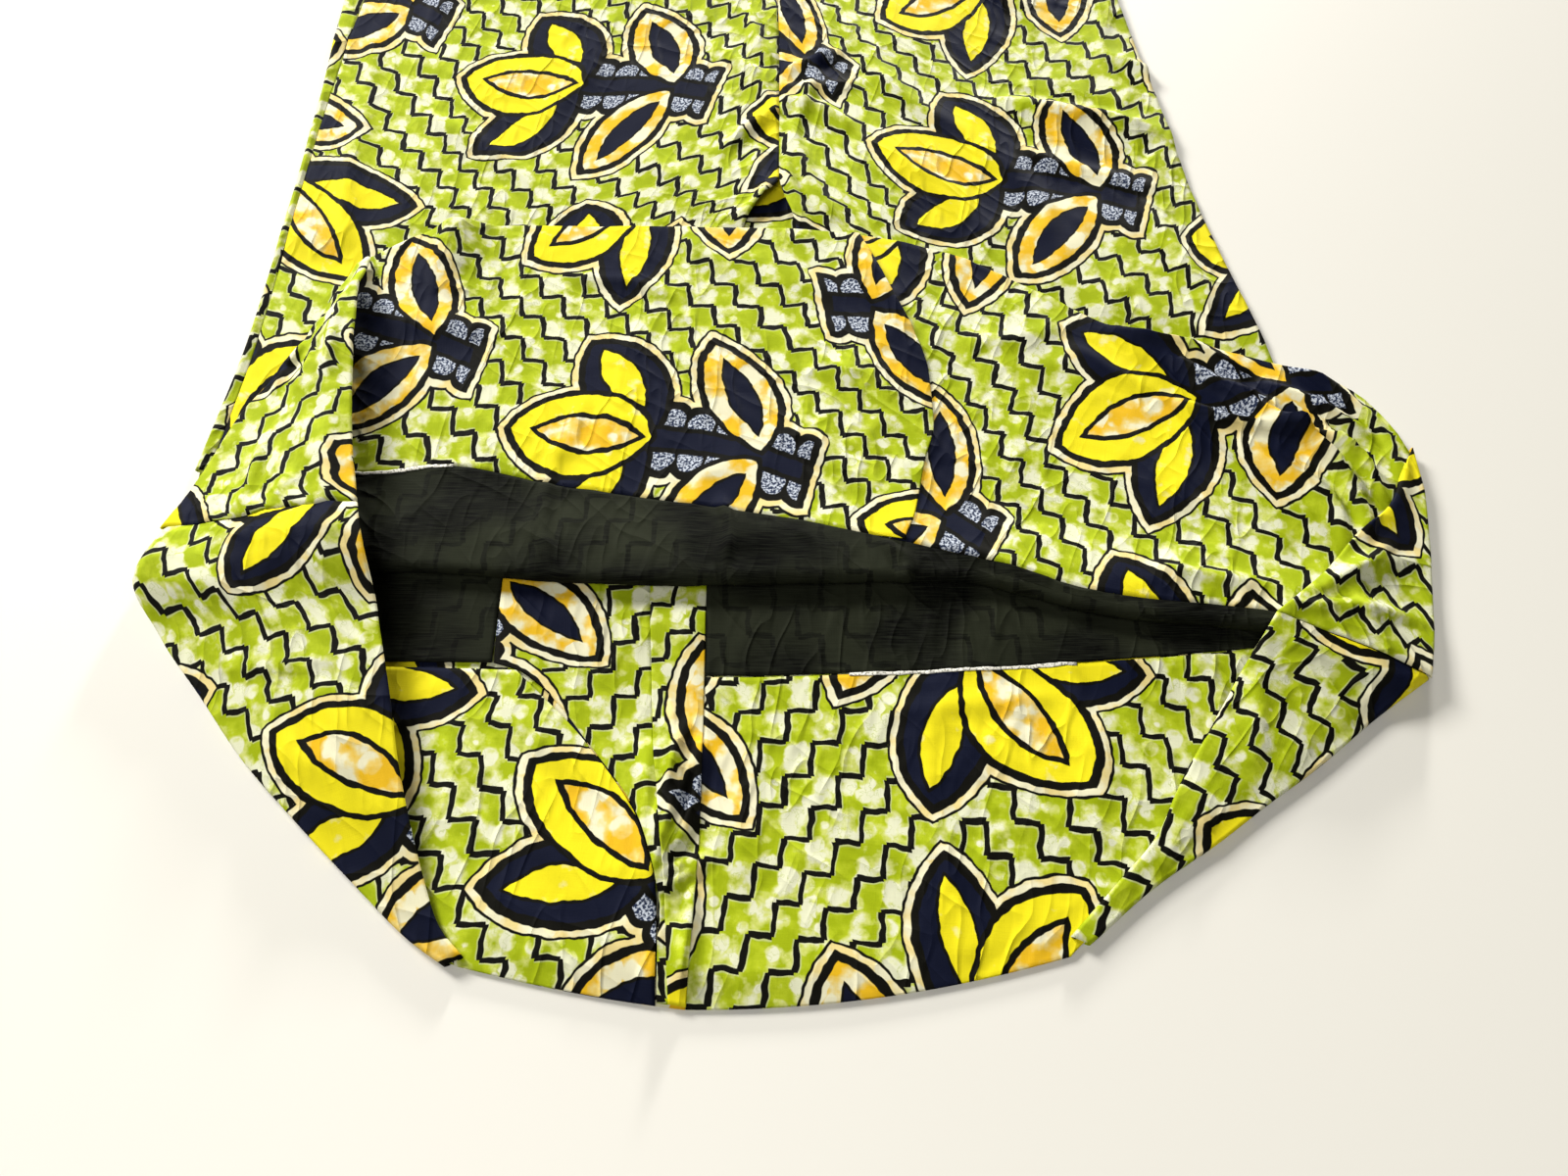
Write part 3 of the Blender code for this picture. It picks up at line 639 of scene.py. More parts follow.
def smallest_rectangle(cut: Array) -> tuple[float, float]:
    """The width and length of the smallest rectangle round the flat piece, over turns of 3 degrees."""
    angles = np.radians(np.arange(0, 90, 3))
    turns = np.array([[np.cos(angles), np.sin(angles)], [-np.sin(angles), np.cos(angles)]]).transpose(2, 0, 1)
    width, length = min(np.ptp(cut @ turns, axis=1), key=np.prod)
    return float(width), float(length)


def flat_area(cut: Array, quads: Array) -> float:
    """The flat piece's area, where each quad's is half the cross product of its diagonals."""
    a, b, c, d = (cut[quads[:, k]] for k in range(4))
    first, second = c - a, d - b
    return float(np.abs(first[:, 0] * second[:, 1] - first[:, 1] * second[:, 0]).sum() / 2)


def in_scene(name: str, data: ID) -> Object:
    """A new object in the scene, with that mesh, light or camera."""
    made = bpy.data.objects.new(name, data)
    bpy.context.scene.collection.objects.link(made)
    return made


@dataclass(frozen=True)
class Piece:
    """One piece of cloth to be made."""

    name: str
    cloths: tuple[Cloth, ...]
    nodes: tuple[str, ...]
    slot: Slot
    rests_on: tuple[str, ...]
    placing: Placing = Placing()
    held: Held = Held.LAID
    thickness: float = 0.55 * MM

    def cut(self) -> Array:
        """The points of all its cloths on the printed length."""
        return np.vstack([self.placing.place(cloth.cut.reshape(-1, 2)) for cloth in self.cloths])

    def quads(self) -> Array:
        """The corners of all its cloths' quads."""
        sizes = [cloth.points.shape[:2] for cloth in self.cloths]
        starts = np.cumsum([0] + [rows * columns for rows, columns in sizes[:-1]])
        return np.vstack([quad_indices(*size, start) for size, start in zip(sizes, starts)])

    def mesh(self) -> Mesh:
        """The cloths as one mesh in the dress frame, joined where they meet, with their cut as a UV map."""
        points = np.vstack([cloth.points.reshape(-1, 3) for cloth in self.cloths])
        quads = self.quads()
        mesh = bpy.data.meshes.new(self.name)
        mesh.from_pydata(points - LAYOUT_CENTRE, [], quads)
        uv = self.cut()[quads.ravel()].astype(np.float32)
        mesh.uv_layers.new(name=PRINT_MAP).data.foreach_set("uv", uv.ravel())
        if len(self.cloths) > 1:
            joined = bmesh.new()
            joined.from_mesh(mesh)
            bmesh.ops.remove_doubles(joined, verts=joined.verts, dist=JOINED)
            joined.to_mesh(mesh)
            joined.free()
        mesh.shade_smooth()
        return mesh

    def shell(self, material: Material) -> Object:
        """Builds the piece with its finish and its thickness, and gives it its body."""
        piece = in_scene(self.name, self.mesh())
        piece.data.materials.append(material)
        wall = piece.modifiers.new("Wall", "SOLIDIFY")
        wall.thickness = self.thickness
        wall.offset = 0
        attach(piece, BODY)
        return piece

    def make(self, material: Material, with_pieces: Sequence[Object] = ()) -> None:
        """Args:
            material: its finish.
            with_pieces: separate pieces on it, such as its selvedge; not used.
        """
        piece = self.shell(material)
        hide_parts(*self.nodes)
        width, length = smallest_rectangle(self.cut())
        min(flat_area(self.cut(), self.quads()), width * length)
        LOG.info("%s: %d points, cut from %.3f x %.3f m", self.name, len(piece.data.vertices), width, length)


# The dress


@dataclass(frozen=True)
class Shapes:
    """The shapes that more than one piece follows: the turned corners, and the flap as it lies."""

    lay: Lay = Lay()
    columns: int = 121  # points across half the dress
    body_rows: int = 232  # points from the shoulder to the fold
    corner_rows: int = 56
    corner_columns: int = 40
    corner_pace: float = 1.1  # of a corner's rise to its hem, which ends just before the hem if above 1
    roll_steps: int = 12
    lining_rows: int = 27
    facing_rows: int = 64
    near_fold: tuple[float, ...] = (0.048, 0.041, 0.034, 0.027, 0.020, 0.0135, 0.009, 0.0045, 0.0)
    vent_left: float = 0.012  # the back's two edges at the vent
    vent_right: float = 0.040
    left_at_fold: float = -0.274
    right_at_fold: float = 0.336
    meeting: int = 30  # the right half's column where the facings meet
    meeting_points: int = 80
    meeting_line: Marks = (  # how far up the flap, as its sections count, and the x where the facings meet
        (0.00, 0.0930),
        (1.00, 0.0940),
        (1.08, 0.0994),
        (1.27, 0.1073),
        (1.39, 0.1132),
        (1.55, 0.1122),
        (1.66, 0.1063),
        (1.80, 0.0937),
        (2.00, 0.0770),
    )

    back_left_corner: CornerLines = corner_lines(
        (-284.5, 26, -180, 32, 16), (-271.5, 62, -189, 68, 17), (-260, 96, -195, 105, 17),
        (-239, 131, -199, 138, 16), (-223.5, 166, -203, 172, 12), (-212, 200, -205, 203, 2),
    )
    front_left_corner: CornerLines = corner_lines(
        (-284.5, 26, -180, 32, 16), (-292, -2, -170, -2, 15), (-276, -30, -161, -36, 14),
        (-249, -62, -152, -68, 12), (-222, -94, -145, -98, 10), (-193, -122, -137, -125, 7),
        (-161, -151, -129, -149, 3), (-131, -177, -119, -172, 1), (-114, -188, -107, -185, 0),
    )
    back_right_corner: CornerLines = corner_lines(
        (350, -55, 279, -24, 2), (359, -30, 292, -14, 3), (365.5, -2, 310, 1, 4),
        (370.5, 26, 329, 21, 5), (374, 55, 352, 41, 4), (373.5, 78, 366, 66, 1),
    )
    front_right_corner: CornerLines = corner_lines(
        (350, -55, 279, -24, 2), (323, -73, 260, -52, 4), (288, -99, 240, -82, 4),
        (262, -116, 224, -105, 3), (236, -134, 209, -131, 2), (204, -154, 190, -151, 1),
        (172, -179, 165, -176, 0),
    )

    @cached_property
    def turned(self) -> dict[str, Cloth]:
        """The four turned corners, each under the name of the panel that it continues."""
        panels = ("back_left", "front_left", "back_right", "front_right")
        return {panel: self.corner(getattr(self, f"{panel}_corner"), "back" in panel) for panel in panels}

    @cached_property
    def left_flap(self) -> Lie:
        """The flap's left half."""
        return self.flap(self.vent_left, self.left_at_fold, self.turned["back_left"], meeting=False)

    @cached_property
    def right_flap(self) -> Lie:
        """The flap's right half."""
        return self.flap(self.vent_right, self.right_at_fold, self.turned["back_right"], meeting=True)

    @property
    def parts(self) -> Array:
        """Even parts of the way from a panel's centre edge to its side edge."""
        return np.linspace(0, 1, self.columns)

    @property
    def lining_sections(self) -> Array:
        """Places up the flap from its fold, 0, to the lining's edge, 1."""
        return np.linspace(0, 1, self.lining_rows)

    @property
    def sections(self) -> Array:
        """Places up the flap from its fold, 0, past the lining's edge, 1, to its hem, 2."""
        return np.concatenate([self.lining_sections, np.linspace(1, 2, self.facing_rows)[1:]])

    def corner(self, table: CornerLines, of_back: bool) -> Cloth:
        """A turned corner: from the wall that it continues, round its fold, and across to the hem edge.

        The fold is a half circle between the two heights, and the top runs level on the way in, rising to the
        hem's lift and level again just before it.

        Args:
            table: the corner's lines, from the side seam out.
            of_back: whether it continues the flap, and not the front.

        Returns:
            Its cloth, with a row for each line.
        """
        lay = self.lay
        rows = smooth(table, self.corner_rows)
        fold, hem, lift = rows[:, :2], rows[:, 2:4], rows[:, 4:]
        seam = hem[0] - fold[0]
        off_seam = np.array([-seam[1], seam[0]]) / np.linalg.norm(seam)
        off_seam *= np.sign(off_seam @ (hem[1] - hem[0])) * lay.gap / 2
        fold[0] += off_seam
        hem[0] += off_seam
        width = np.linalg.norm(hem - fold, axis=1)[:, None]
        inward = (hem - fold) / width

        start = (lay.flap if of_back else lay.front)(*fold.T)[:, None]
        radius = (lay.corner(*(fold + inward * lay.layer).T)[:, None] - start) / 2
        angle = np.linspace(-np.pi / 2, np.pi / 2, self.roll_steps)
        part = np.linspace(0, 1, self.corner_columns)
        reach = np.hstack([radius * (1 - np.cos(angle)), radius + (width - radius) * part[1:]])
        x, y = fold[:, :1] + inward[:, :1] * reach, fold[:, 1:] + inward[:, 1:] * reach
        settled = lay.corner(x[:, self.roll_steps - 1 :], y[:, self.roll_steps - 1 :])
        raised = (start + 2 * radius - settled[:, :1]) * (1 - part) + lift * ease(self.corner_pace * part)
        top = settled + raised
        points = grid(x, y, np.hstack([start + radius * (1 + np.sin(angle)), top[:, 1:]]))
        return Cloth.turned_in(points, fold, inward)

    def beside(self, corner: Cloth) -> Array:
        """The edge of the wall that a corner continues: just inside the corner, with a point a row."""
        foot, far = corner.points[:, 0, :2], corner.points[:, -1, :2]
        return foot + unit(far - foot) * 2 * self.lay.gap

    def body(self, table: Sections, side: int) -> Array:
        """A panel's sections from the shoulder down, with their centre ends half a gap off the seam."""
        rows = smooth(table, self.body_rows, SIDE_END_Y)
        rows[:, 0] += side * self.lay.gap / 2
        return rows

    def flap(self, vent_x: float, side_at_fold: float, corner: Cloth, meeting: bool) -> Lie:
        """Half of the flap from the vent to the side, whose side edge follows the corner that continues it.

        Args:
            vent_x: the x of its edge at the vent.
            side_at_fold: the x of its side edge at the fold.
            corner: the turned corner.
            meeting: whether a column runs where the two facings meet.

        Returns:
            The x and the y of its points, with a row for each of the sections.
        """
        lay, at = self.lay, self.sections[:, None]
        lines = lay.fold, lay.lining_edge, lay.flap_hem
        edge = np.vstack([[side_at_fold, lay.line(lay.fold, side_at_fold)], self.beside(corner)])
        fold, lining, hem = (lay.line(through, edge[:, 0]) for through in lines)
        below, above = (edge[:, 1] - fold) / (lining - fold), (edge[:, 1] - lining) / (hem - lining)
        place = np.maximum.accumulate(np.where(below < 1, below, 1 + above))
        side_x = np.interp(at, place, edge[:, 0])
        parts = np.broadcast_to(self.parts, (len(at), self.columns))
        if meeting:
            line = smooth(self.meeting_line, self.meeting_points)
            split = (np.interp(at, *line.T) - vent_x) / (side_x - vent_x)
            near = np.linspace(0, 1, self.meeting + 1)
            far = np.linspace(0, 1, self.columns - self.meeting)[1:]
            parts = np.hstack([split * near, split + (1 - split) * far])
        x = vent_x + (side_x - vent_x) * parts
        fold, lining, hem = (lay.line(through, x) for through in lines)
        y = np.where(at < 1, fold + (lining - fold) * at, lining + (hem - lining) * (at - 1))
        y[:, -1] = np.where(at[:, 0] > 0, np.interp(at[:, 0], place, edge[:, 1]), y[:, -1])
        return x, y

    def round_fold(self, x: Array, y: Array, out: float) -> Array:
        """The rows of a half circle round the back's fold, on its wrong side by out, from under to over."""
        low, high = self.lay.back(x, y) - out, self.lay.flap(x, y) + out
        angle = np.linspace(-np.pi / 2, np.pi / 2, self.roll_steps)[1:-1, None]
        middle, radius = (high + low) / 2, (high - low) / 2
        return grid(x, y - radius * np.cos(angle), middle + radius * np.sin(angle))


@dataclass(frozen=True)
class SubAssembly:
    """What the parts of the dress share: its shapes, its finishes, and how each piece is made from them."""

    shapes: Shapes
    fabrics: Fabrics

    def printed(
        self,
        node: str,
        cloths: Sequence[Cloth],
        rests_on: str,
        placing: Placing,
        held: Held = Held.LAID,
        strips: Sequence[Object] = (),
    ) -> None:
        """Makes a piece of the printed cotton.

        Args:
            node: the CAD solid that it replaces.
            cloths: its cloths, which are joined where they meet.
            rests_on: the object under it.
            placing: where it was cut on the printed length.
            held: how it is held.
            strips: the selvedge strips on it.
        """
        piece = Piece(f"{node}_cloth", tuple(cloths), (node,), Slot.WAX_PRINT, (rests_on,), placing, held)
        piece.make(self.fabrics.cotton, strips)

    def lined(self, node: str, cloth: Cloth, rests_on: str, held: Held = Held.LAID) -> None:
        """Makes a piece of the lining, in place of that CAD solid."""
        piece = Piece(f"{node}_cloth", (cloth,), (node,), Slot.LINING, (rests_on,), held=held)
        piece.make(self.fabrics.voile)

    def edged(self, name: str, line: Array, span: tuple[float, float]) -> Object:
        """Makes a selvedge along a line of points where their x is in that span, for the piece under it."""
        pale = (line[:, 0] > span[0]) & (line[:, 0] < span[1])
        return Selvedge().make(name, line[pale], self.fabrics.threads)


@dataclass(frozen=True)
class Back(SubAssembly):
    """The back's two panels, which turn over at the fold into the flap."""

    top: Sections = sections(
        (95, 990, 175, 965), (80, 962, 167, 931), (45, 946, 163, 896), (0, 941, 165, 862),
        (0, 900, 176, 830), (0, 850, 205, 797), (0, 775, 246, 775),
    )
    left: Sections = sections(
        (6, 690, -237, 690), (18, 600, -227, 600), (29, 500, -236, 500), (32, 435, -245, 435),
        (33, 344, -253, 344), (33, 272, -257, 272), (12, 232, -259, 228), (12, 150, -263, 150),
        (12, 66, -272, 66),
    )
    right: Sections = sections(
        (6, 690, 241, 690), (18, 600, 236, 600), (29, 500, 247, 500), (32, 435, 258, 435),
        (33, 344, 272, 344), (33, 272, 282, 272), (43, 232, 290, 228), (40, 150, 308, 150),
        (40, 66, 326, 66),
    )
    left_placing: Placing = Placing(0, (0.268, 0.040))
    right_placing: Placing = Placing(0, (0.006, 0.117))

    @cached_property
    def left_lie(self) -> Lie:
        """The left panel as it lies."""
        return self.lying((*mirrored(self.top), *self.left), -1, self.shapes.left_flap[0][0])

    @cached_property
    def right_lie(self) -> Lie:
        """The right panel as it lies."""
        return self.lying((*self.top, *self.right), 1, self.shapes.right_flap[0][0])

    def lying(self, table: Sections, side: int, at_fold: Array) -> Lie:
        """A panel's sections as it lies, the last ones at set distances from the fold.

        Args:
            table: its sections, from the shoulder down.
            side: 1 for the wearer's right, -1 for the left.
            at_fold: the x of its points at the fold.

        Returns:
            The x and the y of its points.
        """
        shapes, lay = self.shapes, self.shapes.lay
        rows = shapes.body(table, side)
        x, y = across(rows, shapes.parts)
        distance = np.array(shapes.near_fold)[:, None]
        vent, edge = at_fold[0], at_fold[-1]
        last_x, last_y = rows[-1, SIDE_END]
        edge_x = edge + (last_x - edge) * distance / lay.above_fold(last_x, last_y)
        near_x = vent + (edge_x - vent) * (at_fold - vent) / (edge - vent)
        return np.vstack([x, near_x]), np.vstack([y, lay.line(lay.fold, near_x) + distance])

    def panel(self, lying: Lie, flap: Lie) -> Cloth:
        """A panel: down to the fold, round it, and back up over itself to the hem."""
        shapes, lay = self.shapes, self.shapes.lay
        rows = [
            grid(*lying, lay.back(*lying)),
            shapes.round_fold(flap[0][0], flap[1][0], 0),
            grid(*flap, lay.flap(*flap)),
        ]
        return Cloth.hanging(np.vstack(rows))

    def build(self) -> None:
        """Makes both panels."""
        left = self.panel(self.left_lie, self.shapes.left_flap)
        self.printed("back_left", [left], "front_left_cloth", self.left_placing, Held.FOLDED)
        right = self.panel(self.right_lie, self.shapes.right_flap)
        self.printed("back_right", [right], "front_right_cloth", self.right_placing, Held.FOLDED)


@dataclass(frozen=True)
class Front(SubAssembly):
    """The front's two panels, on the table, with the left one's edge brought round to the side seam."""

    back: Back
    edge_rise: float = 1.6 * MM  # of the left edge over the back beside it
    edge_columns: int = 5  # points from there to the back's side
    creased_share: float = 0.8  # its creases' height under the facings, as a part of theirs
    top: Sections = sections(
        (95, 990, 175, 965), (88, 950, 166, 931), (70, 915, 162, 896), (35, 893, 165, 862),
        (0, 887, 176, 830), (0, 835, 205, 797), (0, 775, 246, 775),
    )
    left: Sections = sections(
        (0, 690, -241, 690), (0, 600, -236, 600), (0, 500, -247, 500), (0, 435, -258, 435),
        (0, 344, -259, 344), (0, 272, -260, 272), (0, 228, -263, 228), (0, 150, -268, 150),
        (-2, 66, -280, 66),
    )
    right: Sections = sections(
        (0, 600, 236, 600), (0, 435, 258, 435), (0, 272, 282, 272), (0, 131, 311, 131),
        (-2, 20, 338, 10),
    )
    left_hem: Sections = sections((-2, 26, 0, 0), (-3, -100, 0, 0), (-7, -206, 0, 0, 2))
    right_hem: Sections = sections((-2, -30, 0, 0), (-3, -120, 0, 0), (-7, -206, 0, 0, 6))
    left_edge: Marks = marks(  # y, and how far the front comes round the left edge there
        (66, 7), (150, 5), (272, 4), (344, 6), (435, 13), (600, 9), (700, 4),
    )
    left_placing: Placing = Placing(0, (0.365, 0.026))
    right_placing: Placing = Placing(0, (0.018, 0.084))

    def hem_rows(self, table: Sections, side: int, corner: Cloth) -> Array:
        """The sections beside a turned corner, whose side ends are where that corner starts."""
        rows = smooth(table, self.shapes.corner_rows, CENTRE_END_Y)
        rows[:, 0] += side * self.shapes.lay.gap / 2
        rows[:, SIDE_END] = self.shapes.beside(corner)
        return rows

    def left_cloths(self) -> tuple[Cloth, Cloth]:
        """The left panel, flat from shoulder to hem, and its edge: a half circle, then to the back's side."""
        shapes, lay = self.shapes, self.shapes.lay
        upper = shapes.body((*mirrored(self.top), *self.left), -1)
        edge = np.array(self.left_edge)
        turned = upper[:, SIDE_Y] < edge[-1, 0]
        y = upper[turned, SIDE_Y]
        seam = self.back.left_lie[0][: shapes.body_rows, -1][turned] - lay.gap
        seam_height = lay.back(seam, y)
        radius = (seam_height + self.edge_rise - lay.wall / 2) / 2
        upper[turned, SIDE_X] = seam - np.interp(y, *edge.T) + radius
        hem_rows = self.hem_rows(self.left_hem, -1, shapes.turned["front_left"])
        x, y_all = across(np.vstack([upper, hem_rows]), shapes.parts)
        panel = Cloth.hanging(grid(x, y_all, lay.front(x, y_all, self.creased_share)))

        angle = np.linspace(-np.pi / 2, np.pi / 2, shapes.roll_steps)
        roll_x = upper[turned, SIDE_X][:, None] - radius[:, None] * np.cos(angle)
        roll_z = lay.wall / 2 + radius[:, None] * (1 + np.sin(angle))
        part = np.linspace(0, 1, self.edge_columns)[1:]
        strip_x = roll_x[:, -1:] + (seam[:, None] - roll_x[:, -1:]) * part
        strip_z = roll_z[:, -1:] + (seam_height[:, None] - roll_z[:, -1:]) * ease(part)
        points = grid(np.hstack([roll_x, strip_x]), y[:, None], np.hstack([roll_z, strip_z]))
        foot = panel.cut[np.flatnonzero(turned), -1]
        return panel, Cloth.turned_in(points, foot, np.tile([-1.0, 0.0], (len(foot), 1)))

    def right_cloth(self) -> Cloth:
        """The right panel: flat from the shoulder to the hem."""
        shapes = self.shapes
        upper = shapes.body((*self.top, *self.right), 1)
        hem_rows = self.hem_rows(self.right_hem, 1, shapes.turned["front_right"])
        x, y = across(np.vstack([upper, hem_rows]), shapes.parts)
        return Cloth.hanging(grid(x, y, shapes.lay.front(x, y, self.creased_share)))

    def build(self) -> None:
        """Makes both panels."""
        self.printed("front_left", self.left_cloths(), "table", self.left_placing, Held.FOLDED)
        self.printed("front_right", [self.right_cloth()], "table", self.right_placing)


@dataclass(frozen=True)
class FlapCover(SubAssembly):
    """What is sewn on the flap's wrong side: a deep hem facing in two parts, and the lining below it."""

    hem_radius: float = 0.9 * MM
    tuck_radius: float = 0.63 * MM  # of the left facing's folded end
    tuck_rise: float = 1.6 * MM  # of that end over the right facing
    tuck_length: float = 14 * MM
    tuck_lap: float = 3 * MM
    lap_columns: int = 3  # which both facings cover
    under_rows: int = 4  # of the lining, in under the back
    selvedge_span: tuple[float, float] = (-0.200, -0.138)  # the x between which the left facing has one
    left_placing: Placing = Placing(-4, (0.205, 0.275))
    right_placing: Placing = Placing(13, (-0.053, 0.372))

    def facing(self, flap: Lie, columns: slice, tucked: bool) -> Cloth:
        """A facing on the flap, a layer up, rolled over at the hem; one with a tuck laps over the other.

        Args:
            flap: the x and the y of the flap's points above the lining's edge.
            columns: which of them it covers.
            tucked: whether its last column is a folded edge that lies over the next facing.

        Returns:
            Its cloth.
        """
        lay = self.shapes.lay
        x, y = (part[:, columns].copy() for part in flap)
        rise = np.zeros_like(x)
        if tucked:
            from_end = x[:, -1:] - x
            rise = self.tuck_rise * ease(1 - from_end / self.tuck_length)
            x = x + self.tuck_lap * ease(1 - from_end / self.tuck_length)
        cloth = Cloth.lying(grid(x, y, lay.flap(x, y) + lay.layer + rise)).rolled(self.hem_radius)
        if tucked:
            cloth = cloth.transposed().rolled(self.tuck_radius, under=1).transposed()
        return cloth

    def lining(self, flap: Lie) -> Cloth:
        """The lining: on the flap, round the outside of the fold, and just in under the back."""
        shapes, lay = self.shapes, self.shapes.lay
        x, y = (part[::-1].copy() for part in flap)
        y[0] -= lay.gap
        fold_x, fold_y = x[-1:], y[-1:]
        under = np.linspace(0, lay.linings_reach, self.under_rows)[:, None]
        rows = [
            grid(x, y, lay.flap(x, y) + lay.layer),
            shapes.round_fold(x[-1], y[-1], lay.layer)[::-1],
            grid(fold_x + 0 * under, fold_y + under, lay.back(fold_x, fold_y + under) - lay.layer),
        ]
        return Cloth.hanging(np.vstack(rows))

    def build(self) -> None:
        """Makes the lining, the right facing, and the left one with its selvedge."""
        shapes, lay = self.shapes, self.shapes.lay
        halves = zip(shapes.left_flap, shapes.right_flap)
        x, y = (np.hstack([left[:, ::-1], right]) for left, right in halves)
        edge = shapes.lining_rows - 1
        lined, faced = (x[: edge + 1], y[: edge + 1]), (x[edge:], y[edge:])
        self.lined("back_lining", self.lining(lined), "back_left_cloth", Held.FOLDED)
        end = shapes.columns + shapes.meeting + 1
        right = self.facing(faced, slice(end - self.lap_columns, None), False)
        self.printed("back_facing_right", [right], "back_right_cloth", self.right_placing)
        line = grid(x[edge], y[edge], lay.flap(x[edge], y[edge]) + lay.layer)
        strip = self.edged("flap_selvedge", line, self.selvedge_span)
        left = self.facing(faced, slice(0, end), True)
        self.printed("back_facing_left", [left], "back_left_cloth", self.left_placing, strips=[strip])


@dataclass(frozen=True)
class FlatPiece:
    """A piece that lies flat on the front: its lines, its points along and across, and where it was cut."""

    table: Sections
    rows: int
    columns: int
    placing: Placing = Placing()


@dataclass(frozen=True)
class LipCover(SubAssembly):
    """What is sewn on the front's wrong side below the fold: facings, the vent's pieces and the lining."""

    hem_radius: float = 0.75 * MM
    underlap_radius: float = 0.45 * MM  # of its two folded edges
    underlap_rise: float = 0.9 * MM
    selvedge_span: tuple[float, float] = (0.068, 0.182)  # the x between which the right facing's edge is pale
    facing_left: FlatPiece = FlatPiece(
        sections(
            (-185, -46.5, -96, -48.5), (-172, -86, -58.2, -86.5), (-156, -125, -30, -127.5),
            (-134, -160, -21.5, -160), (-110, -187, -20.4, -203.5, 1),
        ),
        rows=64,
        columns=48,
        placing=Placing(4, (0.192, 0.330)),
    )
    facing_right: FlatPiece = FlatPiece(
        sections(
            (-3.2, -52.8, 290, -35, 4), (-3, -90, 262, -79), (-3.3, -130, 226, -120),
            (-4.5, -160, 200, -150), (-6.9, -205, 164, -183, 6),
        ),
        rows=64,
        columns=108,
        placing=Placing(4, (-0.134, 0.298)),
    )
    vent_facing: FlatPiece = FlatPiece(
        sections(
            (-108, 12, -33, 12), (-108, -20, -31, -20), (-107.5, -45, -29, -48),
            (-95.2, -48.2, -28.8, -52), (-57.3, -86.5, -26, -90), (-29.1, -127.5, -20.4, -130),
            (-20.7, -160, -17.5, -160), (-19.6, -203.5, -14.3, -204),
        ),
        rows=96,
        columns=32,
        placing=Placing(-4, (-0.050, 0.215)),
    )
    vent_underlap: FlatPiece = FlatPiece(
        sections(
            (-32.6, 12, -4.3, 12), (-30.6, -20, -4, -20), (-28.6, -48, -3.7, -48),
            (-28.4, -52, -3.7, -52), (-25.6, -90, -3.5, -90), (-20, -130, -3.8, -130),
            (-17.1, -160, -5, -160), (-13.9, -204, -7.4, -205),
        ),
        rows=96,
        columns=14,
        placing=Placing(3, (-0.060, 0.155)),
    )
    underlay: FlatPiece = FlatPiece(
        sections(
            (-14, 288, 64, 288), (-14, 180, 64, 180), (-14, 60, 64, 60),
        ),
        rows=40,
        columns=16,
        placing=Placing(0, (0.110, 0.060)),
    )
    lining_left: FlatPiece = FlatPiece(
        sections(
            (-200, 12, -108.5, 12), (-194, -20, -108.5, -20), (-188, -44, -108.5, -44.5),
        ),
        rows=24,
        columns=40,
    )
    lining_right: FlatPiece = FlatPiece(
        sections(
            (-3.8, 12, 280, -18, -6), (-3.5, -20, 285, -27, 2), (-3.2, -52, 290, -34.2, 4),
        ),
        rows=24,
        columns=100,
    )

    def flat(self, piece: FlatPiece, rise: float = 0.0) -> Cloth:
        """A piece on the front, a layer up and that much more."""
        x, y = across(smooth(piece.table, piece.rows, CENTRE_END_Y), np.linspace(0, 1, piece.columns))
        lay = self.shapes.lay
        return Cloth.lying(grid(x, y, lay.front(x, y) + lay.layer + rise))

    def underlap(self) -> Cloth:
        """The vent's underlap: a strip with both long edges folded under."""
        strip = self.flat(self.vent_underlap, self.underlap_rise).transposed()
        other = strip.rolled(self.underlap_radius, under=1).reversed()
        return other.rolled(self.underlap_radius, under=1).transposed()

    def build(self) -> None:
        """Makes each piece on its side of the front, and the hem facings with their hem rolled over."""
        left, right = "front_left_cloth", "front_right_cloth"
        facing = self.flat(self.facing_left).rolled(self.hem_radius)
        self.printed("front_facing_left", [facing], left, self.facing_left.placing)
        self.printed("front_vent_facing", [self.flat(self.vent_facing)], left, self.vent_facing.placing)
        self.printed("front_vent_underlap", [self.underlap()], left, self.vent_underlap.placing)
        self.printed("back_vent_underlay", [self.flat(self.underlay)], left, self.underlay.placing)
        self.lined("front_lining_left", self.flat(self.lining_left), left)
        self.lined("front_lining_right", self.flat(self.lining_right), right)
        facing = self.flat(self.facing_right).rolled(self.hem_radius)
        strip = self.edged("lip_selvedge", facing.points[0], self.selvedge_span)
        self.printed("front_facing_right", [facing], right, self.facing_right.placing, strips=[strip])


@dataclass(frozen=True)
class Corners(SubAssembly):
    """The hem's four corners, each turned in over a facing."""

    hem_radius: float = 1.15 * MM
    hem_rows: int = 10  # of the hem, rolled back underneath
    back_left: Placing = Placing(-8, (0.816, 0.164))
    front_left: Placing = Placing(-14, (0.330, 0.262))
    back_right: Placing = Placing(-32, (0.046, 0.180))
    front_right: Placing = Placing(24, (-0.160, 0.395))

    def build(self) -> None:
        """Makes the corners, each with its hem rolled back underneath."""
        for panel, cloth in self.shapes.turned.items():
            rolled = cloth.transposed().rolled(self.hem_radius, under=self.hem_rows).transposed()
            below = panel.replace("_", "_facing_") + "_cloth"
            self.printed(f"{panel}_turned", [rolled], below, getattr(self, panel), Held.FOLDED)


